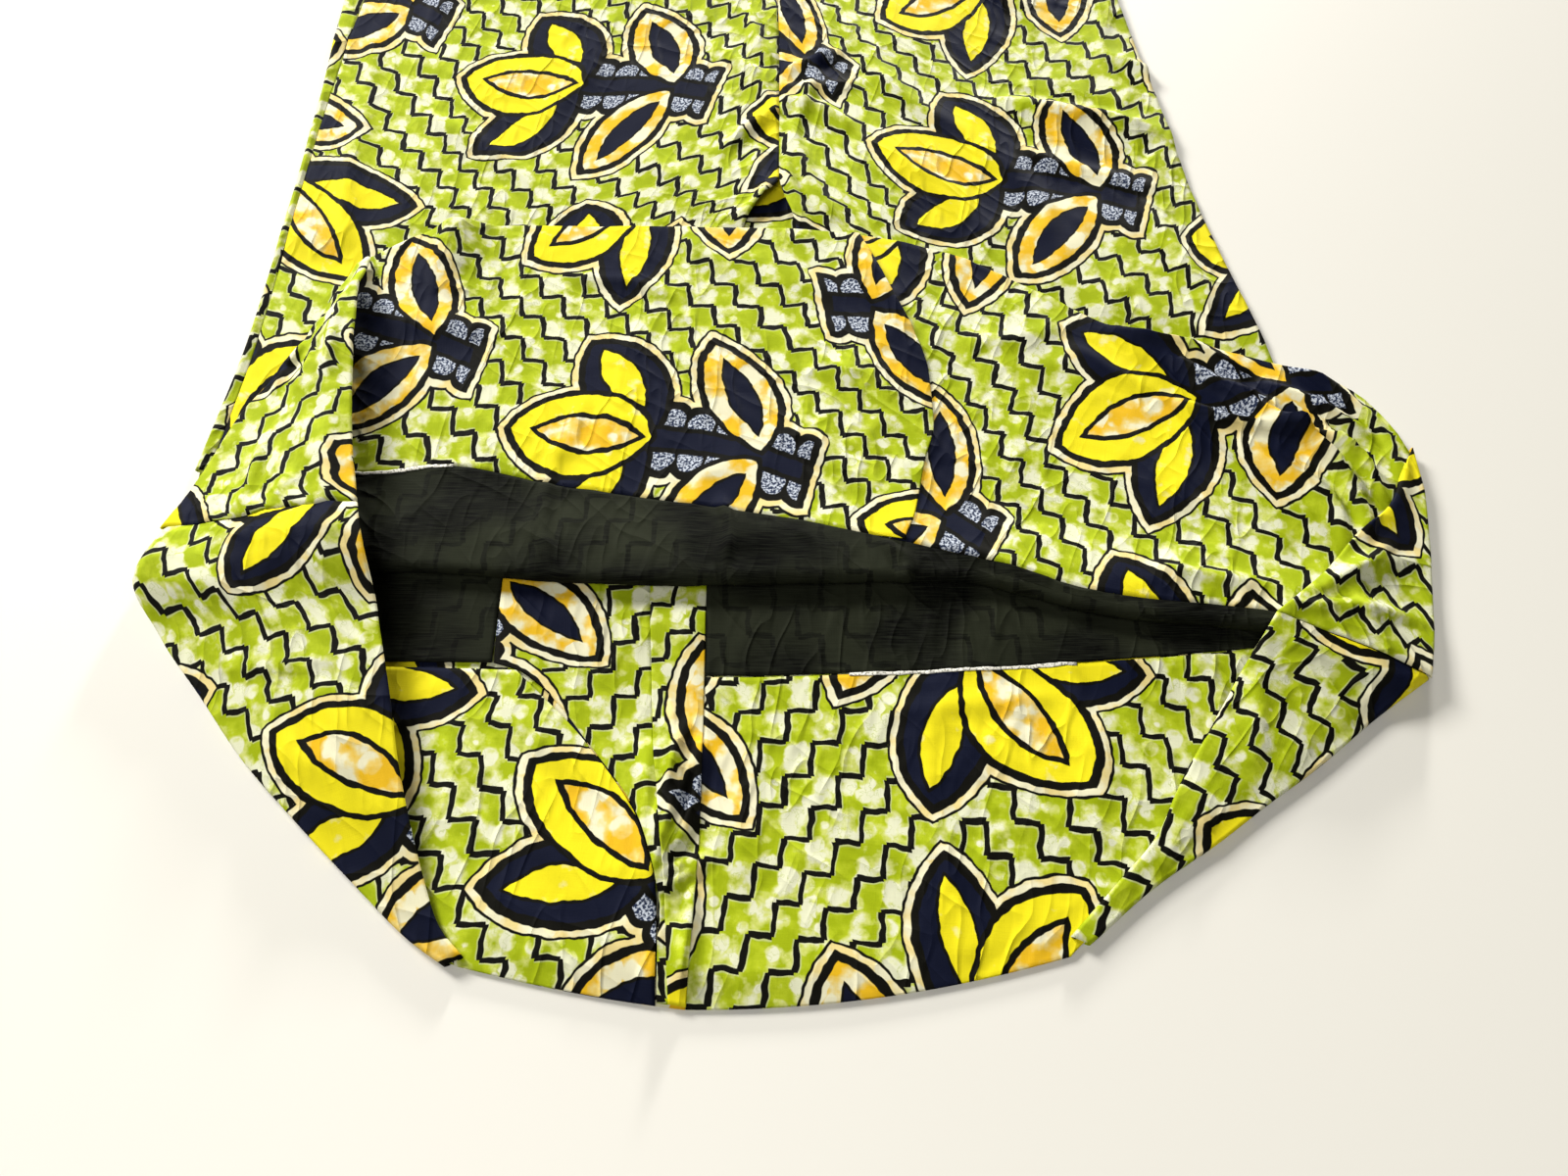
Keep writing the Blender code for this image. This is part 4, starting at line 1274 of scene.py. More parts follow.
@dataclass(frozen=True)
class Selvedge:
    """A woven edge left pale, as a narrow frayed strip along the edge of a facing."""

    width: float = 1.7 * MM
    rows: int = 4
    fray: float = 0.5 * MM
    fray_length: float = 3 * MM
    seeds: tuple[int, int] = (31, 32)  # of the lower and the upper edge's fray
    rise: float = 0.5 * MM  # over the facing
    thickness: float = 0.4 * MM

    def strip(self, line: Array) -> Cloth:
        """A strip along a line of points, with its edges made uneven by a fine noise."""
        x, y, z = line.T
        low, high = (
            y + side * self.width / 2 + self.fray * noise(x, y, self.fray_length, seed)
            for side, seed in zip((-1, 1), self.seeds)
        )
        part = np.linspace(0, 1, self.rows)[:, None]
        return Cloth.lying(grid(x, low + (high - low) * part, z + self.rise))

    def make(self, name: str, line: Array, material: Material) -> Object:
        """Builds and dresses a strip along a line on the sheet that it lies on.

        Args:
            name: of the object.
            line: points along the facing's edge, in the layout.
            material: its finish.

        Returns:
            The new object.
        """
        strip = Piece(name, (self.strip(line),), (), Slot.WAX_PRINT, (), thickness=self.thickness)
        piece = strip.shell(material)
        LOG.info("%s: %d points", name, len(piece.data.vertices))
        return piece


# Finishes


def linear(colour: str) -> tuple[float, float, float, float]:
    """A colour such as "A7C51A" as a node takes it, by the sRGB curve."""
    parts = np.array([int(colour[k : k + 2], 16) / 255 for k in (0, 2, 4)])
    return *np.where(parts <= 0.04045, parts / 12.92, ((parts + 0.055) / 1.055) ** 2.4).tolist(), 1.0


@dataclass(frozen=True)
class Number:
    """A number that varies over a surface, so that a pattern is written as arithmetic on its Math nodes."""

    tree: NodeTree
    socket: NodeSocket

    def math(self, operation: str, *others: Number | float) -> Number:
        """A Math node on this number and those others."""
        node = self.tree.nodes.new("ShaderNodeMath")
        node.operation = operation
        for socket, value in zip(node.inputs, (self, *others)):
            feed(self.tree, socket, value)
        return Number(self.tree, node.outputs[0])

    def __add__(self, other: Number | float) -> Number:
        """The sum."""
        return self.math("ADD", other)

    def __sub__(self, other: Number | float) -> Number:
        """The difference."""
        return self.math("SUBTRACT", other)

    def __mul__(self, other: Number | float) -> Number:
        """The product."""
        return self.math("MULTIPLY", other)

    def __truediv__(self, other: Number | float) -> Number:
        """The quotient."""
        return self.math("DIVIDE", other)

    def __abs__(self) -> Number:
        """The size without its sign."""
        return self.math("ABSOLUTE")

    def floor(self) -> Number:
        """The whole number below."""
        return self.math("FLOOR")

    def least(self, other: Number | float) -> Number:
        """The lower of the two."""
        return self.math("MINIMUM", other)

    def most(self, other: Number | float) -> Number:
        """The higher of the two."""
        return self.math("MAXIMUM", other)

    def odd(self) -> Number:
        """0 where a whole number is even and 1 where it is odd."""
        return self.math("PINGPONG", 1.0)


Socket = Number | NodeSocket | float | tuple[float, ...]
VECTOR, FLOAT, COLOUR = "NodeSocketVector", "NodeSocketFloat", "NodeSocketColor"
FIRST_COLOUR, SECOND_COLOUR, MIXED_COLOUR = 6, 7, 2  # a Mix node's sockets for colours, two in and one out


def feed(tree: NodeTree, socket: NodeSocket, value: Socket) -> None:
    """Links a value to a socket, or sets it there if it is constant."""
    if isinstance(value, Number):
        value = value.socket
    if isinstance(value, NodeSocket):
        tree.links.new(value, socket)
    else:
        socket.default_value = value


@dataclass(frozen=True)
class Drawing:
    """A node tree, with the kinds of node that the finishes are drawn with."""

    tree: NodeTree

    def node(self, kind: str, inputs: dict[str | int, Socket], **settings: object) -> Node:
        """A node with those settings, and those values in its sockets."""
        node = self.tree.nodes.new(kind)
        for name, value in settings.items():
            setattr(node, name, value)
        self.give(node, inputs)
        return node

    def number(self, socket: NodeSocket) -> Number:
        """A socket as a number."""
        return Number(self.tree, socket)

    def split(self, point: NodeSocket) -> tuple[Number, Number]:
        """A point's x and y."""
        outputs = self.node("ShaderNodeSeparateXYZ", {0: point}).outputs
        return self.number(outputs[0]), self.number(outputs[1])

    def point(self, x: Number | float, y: Number | float) -> NodeSocket:
        """A point with that x and y."""
        return self.node("ShaderNodeCombineXYZ", {0: x, 1: y}).outputs[0]

    def scaled(self, point: NodeSocket, x: float, y: float) -> NodeSocket:
        """A point with its x and y scaled."""
        return self.node("ShaderNodeVectorMath", {0: point, 1: (x, y, 1.0)}, operation="MULTIPLY").outputs[0]

    def noise(self, point: NodeSocket, scale: float, detail: float, output: str = "Fac") -> Number:
        """Noise from 0 to 1 with that many cells to a unit; its output "Color" has three of them."""
        node = self.node("ShaderNodeTexNoise", {"Vector": point, "Scale": scale, "Detail": detail})
        return self.number(node.outputs[output])

    def turned(self, point: NodeSocket, angle: Number | float) -> NodeSocket:
        """A point turned in its plane about 0, by an angle in radians."""
        node = self.node("ShaderNodeVectorRotate", {"Vector": point, "Angle": angle}, rotation_type="Z_AXIS")
        return node.outputs[0]

    def length(self, point: NodeSocket) -> Number:
        """How far a point is from 0."""
        return self.number(self.node("ShaderNodeVectorMath", {0: point}, operation="LENGTH").outputs["Value"])

    def inside(self, distance: Number, edge: float, blur: float) -> Number:
        """1 where a distance is less than an edge and 0 past it, with that much blur on either side."""
        return self.ramp(distance, edge + blur, edge - blur)

    def strayed(self, point: NodeSocket, by: float, scale: float) -> NodeSocket:
        """A point moved by up to about that much, by noise with that many cells to a unit."""
        shift = {0: self.noise(point, scale, 1.0, "Color"), 1: (0.5, 0.5, 0.5)}
        centred = self.node("ShaderNodeVectorMath", shift, operation="SUBTRACT").outputs[0]
        moved = self.scaled(centred, 2 * by, 2 * by)
        return self.node("ShaderNodeVectorMath", {0: point, 1: moved}, operation="ADD").outputs[0]

    def ramp(self, value: Number, low: float, high: float) -> Number:
        """0 at low and 1 at high, held past them; low may be above high."""
        node = self.node("ShaderNodeMapRange", {0: value, 1: low, 2: high}, clamp=True)
        return self.number(node.outputs[0])

    def mix(self, part: Number | float, first: Socket, second: Socket) -> NodeSocket:
        """The first colour, with that part of the second in it."""
        inputs = {0: part, FIRST_COLOUR: first, SECOND_COLOUR: second}
        return self.node("ShaderNodeMix", inputs, data_type="RGBA").outputs[MIXED_COLOUR]

    def group(self, tree: NodeTree, **inputs: Socket) -> Node:
        """A node group placed in this tree, with those inputs."""
        return self.node("ShaderNodeGroup", inputs, node_tree=tree)

    def give(self, node: Node, inputs: dict[str | int, Socket]) -> None:
        """Puts those values in a node's sockets."""
        for name, value in inputs.items():
            feed(self.tree, node.inputs[name], value)


def new_group(name: str, inputs: dict[str, str], outputs: dict[str, str]) -> tuple[Drawing, Node, Node]:
    """An empty shader node group.

    Args:
        name: of the group.
        inputs: the kind of socket for each input's name.
        outputs: the kind of socket for each output's name.

    Returns:
        The group's tree to draw in, its input node and its output node.
    """
    tree = bpy.data.node_groups.new(name, "ShaderNodeTree")
    for in_out, sockets in (("INPUT", inputs), ("OUTPUT", outputs)):
        for socket, kind in sockets.items():
            tree.interface.new_socket(name=socket, in_out=in_out, socket_type=kind)
    return Drawing(tree), tree.nodes.new("NodeGroupInput"), tree.nodes.new("NodeGroupOutput")


def new_material(name: str, specular: float) -> tuple[Material, Drawing, Node]:
    """A material with a Principled surface.

    Args:
        name: of the material.
        specular: how strongly it reflects, where 0.5 is plain plastic.

    Returns:
        The material, its tree to draw in, and its shader.
    """
    material = bpy.data.materials.new(name)
    material.use_nodes = True
    shader = material.node_tree.nodes["Principled BSDF"]
    shader.inputs["Specular IOR Level"].default_value = specular
    return material, Drawing(material.node_tree), shader


@dataclass(frozen=True)
class StairLines:
    """Rows of black stairs, all over the ground of the print. Sizes are in millimetres."""

    step: float = 12.2  # along a stair
    rise: float = 15.4
    thickness: float = 2.8
    turn_every: int = 34  # steps that go one way, to where they go the other
    wobble: float = 1.9
    wobble_scale: float = 0.11  # cells to a millimetre
    blur: float = 0.12  # of a line's edge
    fringe: float = 0.9  # of bare cloth beside a line
    fringe_blur: float = 0.2
    far: float = 1000.0  # from an edge of the lattice that no line is on

    def build(self) -> NodeTree:
        """The group: a point in millimetres to masks of the lines and their fringes, and a chequer of blocks.

        The plane is a lattice of steps. A level edge at column i and level j is on a line where i + j is
        even, and so is an upright edge at level i and row j, which makes stairs two steps apart. The masks
        are how near a point is to its nearest such edge. The chequer is the product of two sines, from -1
        to 1. The stairs turn the other way in the middle of a step.
        """
        outputs = {"Line": FLOAT, "Fringe": FLOAT, "Chequer": FLOAT}
        draw, start, end = new_group("Stair lines", {"Point": VECTOR}, outputs)
        x, y = draw.split(draw.strayed(start.outputs[0], self.wobble, self.wobble_scale))
        u = (x / self.step).math("PINGPONG", self.turn_every) + 0.5
        v = y / self.rise
        column, level = u.floor(), (v + 0.5).floor()
        upright, row = (u + 0.5).floor(), v.floor()
        to_level = abs(v - level) * self.rise + (column + level).odd() * self.far
        to_upright = abs(u - upright) * self.step + (upright + row).odd() * self.far
        half = self.thickness / 2
        distance = to_level.least(to_upright)
        line = draw.inside(distance, half, self.blur)
        fringe = draw.ramp(distance, half + self.fringe, half + self.fringe_blur)
        chequer = (u * math.pi).math("SINE") * (v * math.pi).math("SINE")
        draw.give(end, {"Line": line, "Fringe": fringe, "Chequer": chequer})
        return draw.tree


@dataclass(frozen=True)
class Petal:
    """A pointed oval of the print's sprig, in millimetres along and across it from its cell's middle."""

    along: float
    across: float
    turn: float  # degrees from the sprig's own direction
    length: float
    width: float

    def distance(self, draw: Drawing, point: NodeSocket) -> Number:
        """How far a point is outside the oval, which is where two equal circles overlap."""
        radius = (self.length**2 + self.width**2) / (4 * self.width)
        centre = radius - self.width / 2
        middle = (self.along, self.across, 0)
        moved = draw.node("ShaderNodeVectorMath", {0: point, 1: middle}, operation="SUBTRACT").outputs[0]
        x, y = draw.split(draw.turned(moved, math.radians(-self.turn)))
        return draw.length(draw.point(x, abs(y) + centre)) - radius


@dataclass(frozen=True)
class WaxPrint:
    """Cotton with a wax print: budding sprigs with beaded stems on a mottled ground of stair lines.

    Sizes are in millimetres, on a square cell of one sprig. Every other column of cells drops by half a cell,
    and each sprig is turned by its own angle. A noise's scale is its cells to a millimetre. Two numbers of a
    noise are where a colour starts and where it is full.
    """

    cell: float = 178.0
    drift: float = 9.0  # how far the hand-drawn print strays, over some hand's breadths
    drift_scale: float = 0.009
    tremble: float = 1.4  # and over finger's breadths
    tremble_scale: float = 0.14
    blur: float = 0.15  # of a drawn edge
    outline: float = 3.0
    heart_outline: float = 1.2
    side_heart_outline: float = 1.6
    halo: tuple[float, float, float] = (4.0, 7.0, 8.3)  # black, then marbled, then black again
    stem: tuple[float, float, float] = (-78.0, 10.0, 5.0)  # from, to, half width
    stem_bend: float = 0.0014  # how far the sprig bends to a side, for the square of the place along it
    stem_shift: float = 4.0
    bead: tuple[float, float, float] = (14.5, 11.0, 6.4)  # spacing, distance from the stem, radius
    bead_squash: float = 0.85  # across the stem
    bead_margin: float = 2.0  # past the stem's ends

    dye_scale: float = 0.07
    dye_drop_scale: float = 0.06
    dye_drops: float = 0.14  # how much paler a drop is
    dye_pale: tuple[float, float] = (0.38, 0.46)
    dye_orange: tuple[float, float] = (0.44, 0.56)
    dye_band: tuple[float, float] = (0.42, 0.56)
    band_depth: float = 0.8
    yellow_worn: tuple[float, float] = (0.62, 0.70)
    worn_depth: float = 0.5
    speckle_scale: float = 0.75
    speckle: tuple[float, float] = (0.46, 0.57)
    blot_scale: float = 0.10
    patch_scale: float = 0.035
    blot_green: tuple[float, float] = (0.42, 0.62)
    bare: tuple[float, float, float, float] = (0.19, 1.9, 0.9, 0.32)  # blocks, blots, patches and drops
    block_edge: float = 2.6  # how steeply a block of the chequer ends
    drop_scale: float = 0.082
    drop_bend: float = 1.2
    drop_bend_scale: float = 0.2
    drop_sizes: float = 0.34  # from the smallest to the largest, in cells
    drop_edge: tuple[float, float] = (0.13, 0.04)
    bare_pale: tuple[float, float] = (1.36, 1.56)
    bare_cream: tuple[float, float] = (1.57, 1.75)
    crack_scale: float = 0.12
    crack: tuple[float, float] = (0.012, 0.003)
    crack_depth: float = 0.4
    fringe_depth: float = 0.45

    black: str = "0A0903"
    navy: str = "0A0F23"
    yellow: str = "E3D51A"
    cream: str = "E2DDBA"
    pale_orange: str = "DFC878"
    orange: str = "DEB01E"
    green: str = "98A80E"
    light_green: str = "B0BE24"
    pale_green: str = "C2C86A"
    ground_cream: str = "D8D9B8"
    bead_pale: str = "BFC6D0"
    bead_dark: str = "263048"

    bud: Petal = Petal(40.0, 0.0, 0.0, 78.0, 50.0)
    bud_heart: Petal = Petal(36.0, 0.0, 0.0, 56.0, 19.0)
    side: Petal = Petal(25.0, 34.0, 47.0, 72.0, 38.0)
    side_heart: Petal = Petal(27.0, 37.0, 50.0, 50.0, 17.0)
    leaf: Petal = Petal(-37.0, 35.0, 60.0, 72.0, 34.0)
    leaf_heart: Petal = Petal(-38.0, 35.0, 60.0, 50.0, 14.0)

    def in_cell(self, draw: Drawing, point: NodeSocket) -> tuple[Number, Number]:
        """A point's place along and across the sprig of its cell, which is turned by a random angle."""
        x, y = draw.split(draw.scaled(point, 1 / self.cell, 1 / self.cell))
        x = x + 0.5  # so that a sprig hides where the stairs turn
        column = x.floor()
        dropped = y + column.odd() * 0.5
        row = dropped.floor()
        place = draw.point((x - column - 0.5) * self.cell, (dropped - row - 0.5) * self.cell)
        cell = {"Vector": draw.point(column, row)}
        chance = draw.node("ShaderNodeTexWhiteNoise", cell, noise_dimensions="2D").outputs["Value"]
        return draw.split(draw.turned(place, draw.number(chance) * math.tau))

    def spots(self, draw: Drawing, point: NodeSocket, scale: float) -> Number:
        """Round drops of wax of many sizes, one in each cell of an uneven lattice: 1 inside and 0 between.

        Args:
            draw: the tree to draw in.
            point: of the cloth, in millimetres.
            scale: cells to a millimetre.

        Returns:
            The mask.
        """
        bent = draw.strayed(point, self.drop_bend, self.drop_bend_scale)
        lattice = {"Vector": bent, "Scale": scale}
        cells = draw.node("ShaderNodeTexVoronoi", lattice, voronoi_dimensions="2D")
        size = draw.split(cells.outputs["Color"])[0]
        return draw.ramp(draw.number(cells.outputs["Distance"]) - size * self.drop_sizes, *self.drop_edge)

    def ground(self, draw: Drawing, point: NodeSocket, stairs: Node) -> Socket:
        """The ground: cream and green blocks with blurred edges, dye blots, drops, cracks and the stairs.

        Args:
            draw: the tree to draw in.
            point: of the cloth, in millimetres.
            stairs: the stair lines, placed in the tree.

        Returns:
            Its colour.
        """
        line, fringe, chequer = (draw.number(output) for output in stairs.outputs)
        blocks = (chequer * self.block_edge).most(-1.0).least(1.0)
        blots = draw.noise(point, self.blot_scale, detail=3.0)
        patches = draw.noise(point, self.patch_scale, detail=1.0)
        drops = self.spots(draw, point, self.drop_scale)
        of_blocks, of_blots, of_patches, of_drops = self.bare
        bare = blocks * of_blocks + blots * of_blots + patches * of_patches + drops * of_drops
        deep = draw.mix(draw.ramp(blots, *self.blot_green), linear(self.green), linear(self.light_green))
        colour = draw.mix(draw.ramp(bare, *self.bare_pale), deep, linear(self.pale_green))
        colour = draw.mix(draw.ramp(bare, *self.bare_cream), colour, linear(self.ground_cream))
        cracks = draw.ramp(abs(draw.noise(point, self.crack_scale, detail=3.0) - 0.5), *self.crack)
        colour = draw.mix(cracks * self.crack_depth, colour, linear(self.green))
        colour = draw.mix(fringe * self.fringe_depth, colour, linear(self.ground_cream))
        return draw.mix(line, colour, linear(self.black))

    def dyes(self, draw: Drawing, flat: NodeSocket) -> tuple[Socket, Socket, Socket, Socket]:
        """The colours that the sprig is filled with, each marbled or speckled by a noise.

        Args:
            draw: the tree to draw in.
            flat: the point of the cloth, in millimetres.

        Returns:
            The marbled orange, the band's pale orange, the yellow, and the beads' speckles.
        """
        cream, pale_orange = linear(self.cream), linear(self.pale_orange)
        marble = draw.noise(flat, self.dye_scale, detail=3.0)
        dye = marble - self.spots(draw, flat, self.dye_drop_scale) * self.dye_drops
        marbled = draw.mix(draw.ramp(dye, *self.dye_pale), cream, pale_orange)
        marbled = draw.mix(draw.ramp(dye, *self.dye_orange), marbled, linear(self.orange))
        band = draw.mix(draw.ramp(dye, *self.dye_band) * self.band_depth, cream, pale_orange)
        worn = draw.ramp(marble, *self.yellow_worn) * self.worn_depth
        yellow = draw.mix(worn, linear(self.yellow), cream)
        speckle = draw.ramp(draw.noise(flat, self.speckle_scale, detail=2.0), *self.speckle)
        return marbled, band, yellow, draw.mix(speckle, linear(self.bead_dark), linear(self.bead_pale))

    def build(self, stair_lines: NodeTree) -> NodeTree:
        """The group: a point of the cloth in metres to the print's colour there, on those stairs' ground."""
        draw, start, end = new_group("Wax print", {"Cloth": VECTOR}, {"Color": COLOUR})
        flat = draw.scaled(start.outputs[0], TO_MM, TO_MM)
        drifted = draw.strayed(flat, self.drift, self.drift_scale)
        stairs = draw.group(stair_lines, Point=drifted)
        along, across = self.in_cell(draw, draw.strayed(drifted, self.tremble, self.tremble_scale))
        bent = across - along * along * self.stem_bend + self.stem_shift
        middle, both_sides = draw.point(along, bent), draw.point(along, abs(bent))
        marbled, band, yellow, speckled = self.dyes(draw, flat)

        stem_from, stem_to, stem_half = self.stem
        spacing, bead_out, bead_radius = self.bead
        past_stem = abs(along - (stem_from + stem_to) / 2) - (stem_to - stem_from) / 2
        stem = past_stem.most(abs(bent) - stem_half)
        bead_along = (along / spacing).math("FRACT") * spacing - spacing / 2
        beads = draw.length(draw.point(bead_along, (abs(bent) - bead_out) * self.bead_squash))
        beads = (beads - bead_radius).most(past_stem - self.bead_margin)
        black, navy = linear(self.black), linear(self.navy)
        drawn = [
            (beads, speckled, self.heart_outline),
            (stem, navy, self.outline),
            (self.leaf.distance(draw, both_sides), marbled, self.outline),
            (self.leaf_heart.distance(draw, both_sides), navy, self.heart_outline),
            (self.side.distance(draw, both_sides), navy, self.outline),
            (self.side_heart.distance(draw, both_sides), yellow, self.side_heart_outline),
            (self.bud.distance(draw, middle), yellow, self.outline),
            (self.bud_heart.distance(draw, middle), marbled, self.outline),
        ]
        nearest = reduce(Number.least, (distance for distance, _, _ in drawn))
        colour = self.ground(draw, flat, stairs)
        for edge, filling in zip(reversed(self.halo), (black, band, black)):
            colour = draw.mix(draw.inside(nearest, edge, self.blur), colour, filling)
        for distance, filling, outline in drawn:
            colour = draw.mix(draw.inside(distance, outline, self.blur), colour, black)
            colour = draw.mix(draw.inside(distance, 0.0, self.blur), colour, filling)
        draw.give(end, {"Color": colour})
        return draw.tree


@dataclass(frozen=True)
class Weave:
    """A plain cotton weave of uneven threads, with the small crinkles that it keeps, in millimetres."""

    thread: float = 0.42
    crinkle: float = 1.3  # height of the sharp long crinkles
    swell: float = 2.0  # and of the soft rise and fall between them
    down_way: tuple[float, float, float] = (12.0, 0.062, 0.018)  # degrees, cells across, cells along
    slant_way: tuple[float, float, float] = (-50.0, 0.048, 0.014)
    crinkle_half: float = 0.09  # of the noise, from a crinkle's top to its foot
    crinkled: tuple[float, float] = (0.34, 0.58)  # of a broad noise, from smooth patches to crinkled ones
    crinkled_scale: float = 0.012
    slant_share: float = 0.8  # the second crinkles' height beside the first ones'
    swell_scale: float = 0.03
    thread_height: float = 0.12
    thread_shade: float = 0.16
    thread_stretch: float = 0.06  # cells to a millimetre along a thread

    def crinkles(self, draw: Drawing, point: NodeSocket, way: tuple[float, float, float]) -> Number:
        """Sharp ridges, 0 to 1, long in one direction, where a stretched noise passes its middle.

        Args:
            draw: the tree to draw in.
            point: of the cloth, in millimetres.
            way: the ridges' direction in degrees, and the cells to a millimetre across and along them.

        Returns:
            The height's root.
        """
        turn, across, along = way
        stretched = draw.scaled(draw.turned(point, math.radians(turn)), across, along)
        return draw.ramp(abs(draw.noise(stretched, 1.0, detail=1.0) - 0.5), self.crinkle_half, 0.0)

    def build(self) -> NodeTree:
        """The group: a point of the cloth in metres to a height in millimetres and a shade of about 1."""
        outputs = {"Height": FLOAT, "Shade": FLOAT, "Across": FLOAT}
        draw, start, end = new_group("Cotton weave", {"Cloth": VECTOR}, outputs)
        flat = draw.scaled(start.outputs[0], TO_MM, TO_MM)
        count = 1 / self.thread
        weft = draw.noise(draw.scaled(flat, self.thread_stretch, count), 1.0, detail=2.0)
        warp = draw.noise(draw.scaled(flat, count, self.thread_stretch), 1.0, detail=2.0)
        down, slanted = (self.crinkles(draw, flat, way) for way in (self.down_way, self.slant_way))
        where = draw.ramp(draw.noise(flat, self.crinkled_scale, detail=1.0), *self.crinkled)
        crinkles = (down * down + slanted * slanted * self.slant_share) * where
        swell = draw.noise(flat, self.swell_scale, detail=1.5) * self.swell
        height = (weft + warp) * self.thread_height + crinkles * self.crinkle + swell
        shade = (weft + warp) * self.thread_shade + (1 - self.thread_shade)
        draw.give(end, {"Height": height, "Shade": shade, "Across": weft})
        return draw.tree


@dataclass(frozen=True)
class Surface:
    """A new cloth material that has no colour yet: its tree, shader, weave and point of the cloth."""

    material: Material
    draw: Drawing
    shader: Node
    weave: Node
    cloth: NodeSocket

    def coloured(self, colour: Socket) -> Material:
        """The finished material, with that colour."""
        self.draw.give(self.shader, {"Base Color": colour})
        return self.material


@dataclass(frozen=True)
class ClothFinish:
    """What the cotton finishes share: a Principled surface with a weave."""

    weave: NodeTree
    roughness: float = 0.7
    rough_spread: float = 0.2  # from one thread to another
    specular: float = 0.08
    bump: float = 0.6

    def surface(self, name: str) -> Surface:
        """A material of that name with its roughness and bump."""
        material, draw, shader = new_material(name, self.specular)
        cloth = draw.node("ShaderNodeUVMap", {}, uv_map=PRINT_MAP).outputs[0]
        weave = draw.group(self.weave, Cloth=cloth)
        height = weave.outputs["Height"]
        bump = draw.node("ShaderNodeBump", {"Strength": self.bump, "Distance": MM, "Height": height})
        least = self.roughness - self.rough_spread / 2
        rough = draw.number(weave.outputs["Across"]) * self.rough_spread + least
        draw.give(shader, {"Normal": bump.outputs[0], "Roughness": rough})
        return Surface(material, draw, shader, weave, cloth)


@dataclass(frozen=True)
class PrintedCotton(ClothFinish):
    """The wax print on its cotton."""

    def material(self, wax_print: NodeTree) -> Material:
        """The material of every printed piece, with that print."""
        surface = self.surface("Wax print cotton")
        draw = surface.draw
        printed = draw.group(wax_print, Cloth=surface.cloth).outputs["Color"]
        shade = draw.number(surface.weave.outputs["Shade"])
        return surface.coloured(draw.mix(shade, (0.0, 0.0, 0.0, 1.0), printed))


@dataclass(frozen=True)
class LiningVoile(ClothFinish):
    """A thin charcoal lining, through which the print below shows faintly."""

    roughness: float = 0.8
    specular: float = 0.06
    bump: float = 0.6
    dark: str = "030302"
    thread: str = "1B1D16"
    through: str = "2A2D20"
    thread_edge: tuple[float, float] = (0.43, 0.60)
    patch_scale: float = 0.02  # cells to a millimetre of the patches that lie close to the print below
    patch_edge: tuple[float, float] = (0.42, 0.62)
    patch_depth: float = 0.7
    line_depth: float = 0.5  # of the stair lines in such a patch

    def material(self, stair_lines: NodeTree) -> Material:
        """The material of the linings, with those stair lines below."""
        surface = self.surface("Charcoal voile")
        draw = surface.draw
        flat = draw.scaled(surface.cloth, TO_MM, TO_MM)
        threads = draw.ramp(draw.number(surface.weave.outputs["Across"]), *self.thread_edge)
        colour = draw.mix(threads, linear(self.dark), linear(self.thread))
        lines = draw.number(draw.group(stair_lines, Point=flat).outputs["Line"])
        patches = draw.ramp(draw.noise(flat, self.patch_scale, detail=1.0), *self.patch_edge)
        seen = lines * patches * -self.line_depth + patches * self.patch_depth
        return surface.coloured(draw.mix(seen, colour, linear(self.through)))


@dataclass(frozen=True)
class SelvedgeFinish(ClothFinish):
    """Pale bare threads."""

    roughness: float = 0.85
    pale: str = "E9E6DA"
    dark: str = "8C8B7C"
    gap_scale: float = 0.9  # cells to a millimetre
    gap: tuple[float, float] = (0.52, 0.62)

    def material(self) -> Material:
        """The material of the selvedge strips."""
        surface = self.surface("Selvedge threads")
        draw = surface.draw
        flat = draw.scaled(surface.cloth, TO_MM, TO_MM)
        gaps = draw.ramp(draw.noise(flat, self.gap_scale, detail=2.0), *self.gap)
        return surface.coloured(draw.mix(gaps, linear(self.pale), linear(self.dark)))


@dataclass(frozen=True)
class Fabrics:
    """The dress's three finishes."""

    cotton: Material
    voile: Material
    threads: Material

    @classmethod
    def made(cls) -> Fabrics:
        """The finishes, over one weave and one drawing of the stair lines."""
        weave, stair_lines = Weave().build(), StairLines().build()
        return cls(
            PrintedCotton(weave).material(WaxPrint().build(stair_lines)),
            LiningVoile(weave).material(stair_lines),
            SelvedgeFinish(weave).material(),
        )


# The studio


@dataclass(frozen=True)
class Window:
    """A square window's light."""

    place: tuple[float, float, float]
    aim: tuple[float, float, float]
    size: float
    power: float
    colour: tuple[float, float, float] = (1.0, 0.985, 0.96)

    def build(self) -> None:
        """Adds it to the scene, turned to what it is aimed at."""
        data = bpy.data.lights.new("window", "AREA")
        data.size = self.size
        data.energy = self.power
        data.color = self.colour
        window = in_scene("window", data)
        window.location = self.place
        aim = np.array(self.aim) - self.place
        level = math.hypot(aim[0], aim[1])
        window.rotation_euler = (math.atan2(level, -aim[2]), 0, math.atan2(-aim[0], aim[1]))


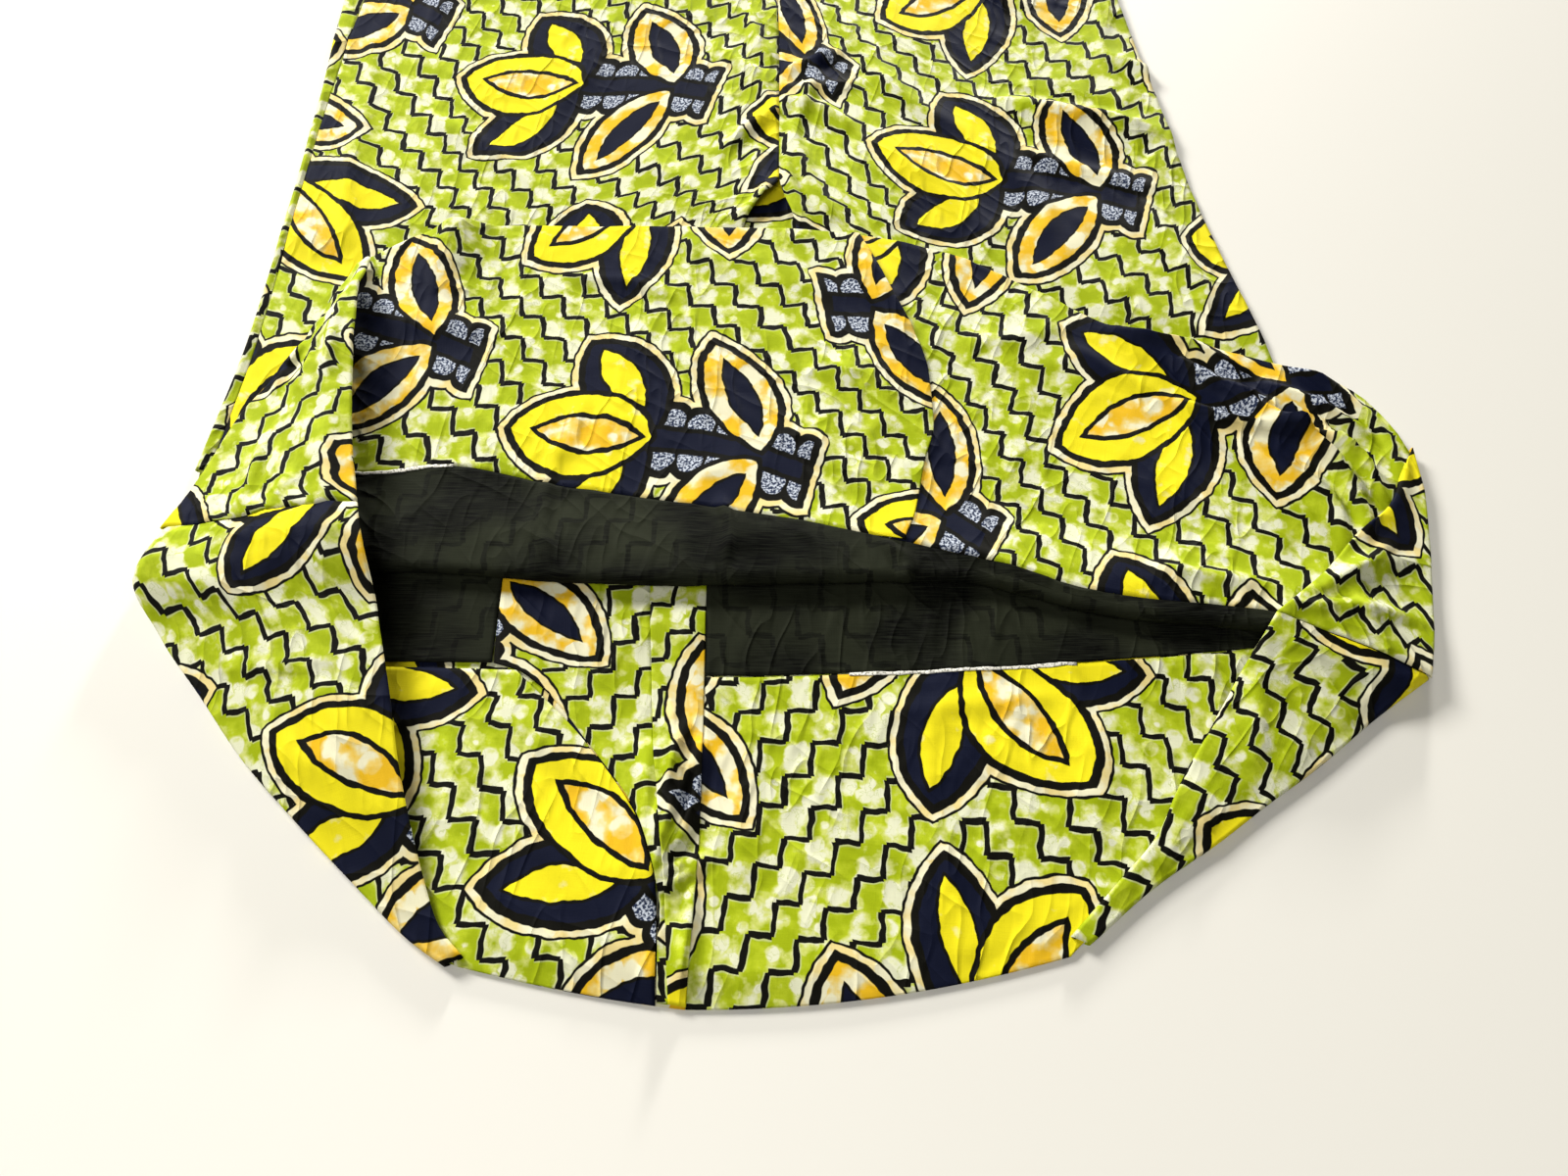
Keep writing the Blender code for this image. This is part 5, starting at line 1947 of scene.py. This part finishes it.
@dataclass(frozen=True)
class Studio:
    """The table, the camera over the hem, and soft daylight from behind on both sides and over the camera."""

    table_size: float = 6.0
    table_colour: str = "E2DFD5"
    table_specular: float = 0.3
    table_roughness: tuple[float, float] = (0.5, 0.1)  # the least, and how much more it is in places
    table_shade: float = 0.97  # of its darker places
    cloud_scale: float = 3.0  # of those places, in cells to a metre
    camera_place: tuple[float, float, float] = (-0.0054, -0.6415, 0.53)
    camera_tilt: float = 25.0  # degrees up from straight down
    lens: float = 26.19  # millimetres, as is the sensor
    sensor: float = 36.0
    windows: tuple[Window, ...] = (
        Window((-2.3, 1.9, 1.9), (0.0, -0.3, 0.0), 1.1, 200.0),
        Window((1.2, 4.4, 0.95), (0.0, -0.3, 0.0), 0.5, 250.0),
        Window((-0.6, -1.3, 2.0), (0.0, -0.4, 0.0), 1.2, 23.0),
    )
    sky: float = 0.08
    sky_colour: tuple[float, float, float, float] = (0.98, 0.99, 1.0, 1.0)
    backdrop: float = 0.78  # the sky's brightness as the camera sees it past the table

    def table(self) -> None:
        """A pale matt table top."""
        mesh = bpy.data.meshes.new("table")
        half = self.table_size / 2
        corners = [(x * half, y * half, 0) for x, y in ((-1, -1), (1, -1), (1, 1), (-1, 1))]
        mesh.from_pydata(corners, [], [(0, 1, 2, 3)])
        table = in_scene("table", mesh)
        material, draw, shader = new_material("Pale table", self.table_specular)
        place = draw.node("ShaderNodeTexCoord", {}).outputs["Object"]
        cloudy = draw.noise(place, self.cloud_scale, detail=3.0)
        least, more = self.table_roughness
        light = linear(self.table_colour)
        dark = (*(part * self.table_shade for part in light[:3]), 1.0)
        draw.give(shader, {"Roughness": cloudy * more + least, "Base Color": draw.mix(cloudy, light, dark)})
        mesh.materials.append(material)

    def camera(self) -> None:
        """The camera, which looks along the dress from past its hem."""
        data = bpy.data.cameras.new("camera")
        data.lens = self.lens
        data.sensor_width = self.sensor
        camera = in_scene("camera", data)
        camera.location = self.camera_place
        camera.rotation_euler = (math.radians(self.camera_tilt), 0, 0)
        bpy.context.scene.camera = camera

    def light(self) -> None:
        """The windows' light and an even sky, which looks brighter than its light is."""
        for window in self.windows:
            window.build()
        world = bpy.data.worlds.new("sky")
        world.use_nodes = True
        background = world.node_tree.nodes["Background"]
        draw = Drawing(world.node_tree)
        seen = draw.number(draw.node("ShaderNodeLightPath", {}).outputs["Is Camera Ray"])
        strength = seen * (self.backdrop - self.sky) + self.sky
        draw.give(background, {"Color": self.sky_colour, "Strength": strength})
        bpy.context.scene.world = world
        bpy.context.scene.view_settings.view_transform = "Standard"

    def build(self) -> None:
        """Everything round the dress."""
        self.camera()
        self.light()
        self.table()


def main() -> None:
    """Builds the studio and then the dress, from the front up to the corners, and logs each piece's points
    and cut size.
    """
    logging.basicConfig(level=logging.INFO, format="%(name)s: %(message)s")
    Studio().build()
    shapes, fabrics = Shapes(), Fabrics.made()
    back = Back(shapes, fabrics)
    Front(shapes, fabrics, back).build()
    LipCover(shapes, fabrics).build()
    back.build()
    FlapCover(shapes, fabrics).build()
    Corners(shapes, fabrics).build()


if __name__ == "__main__":
    main()
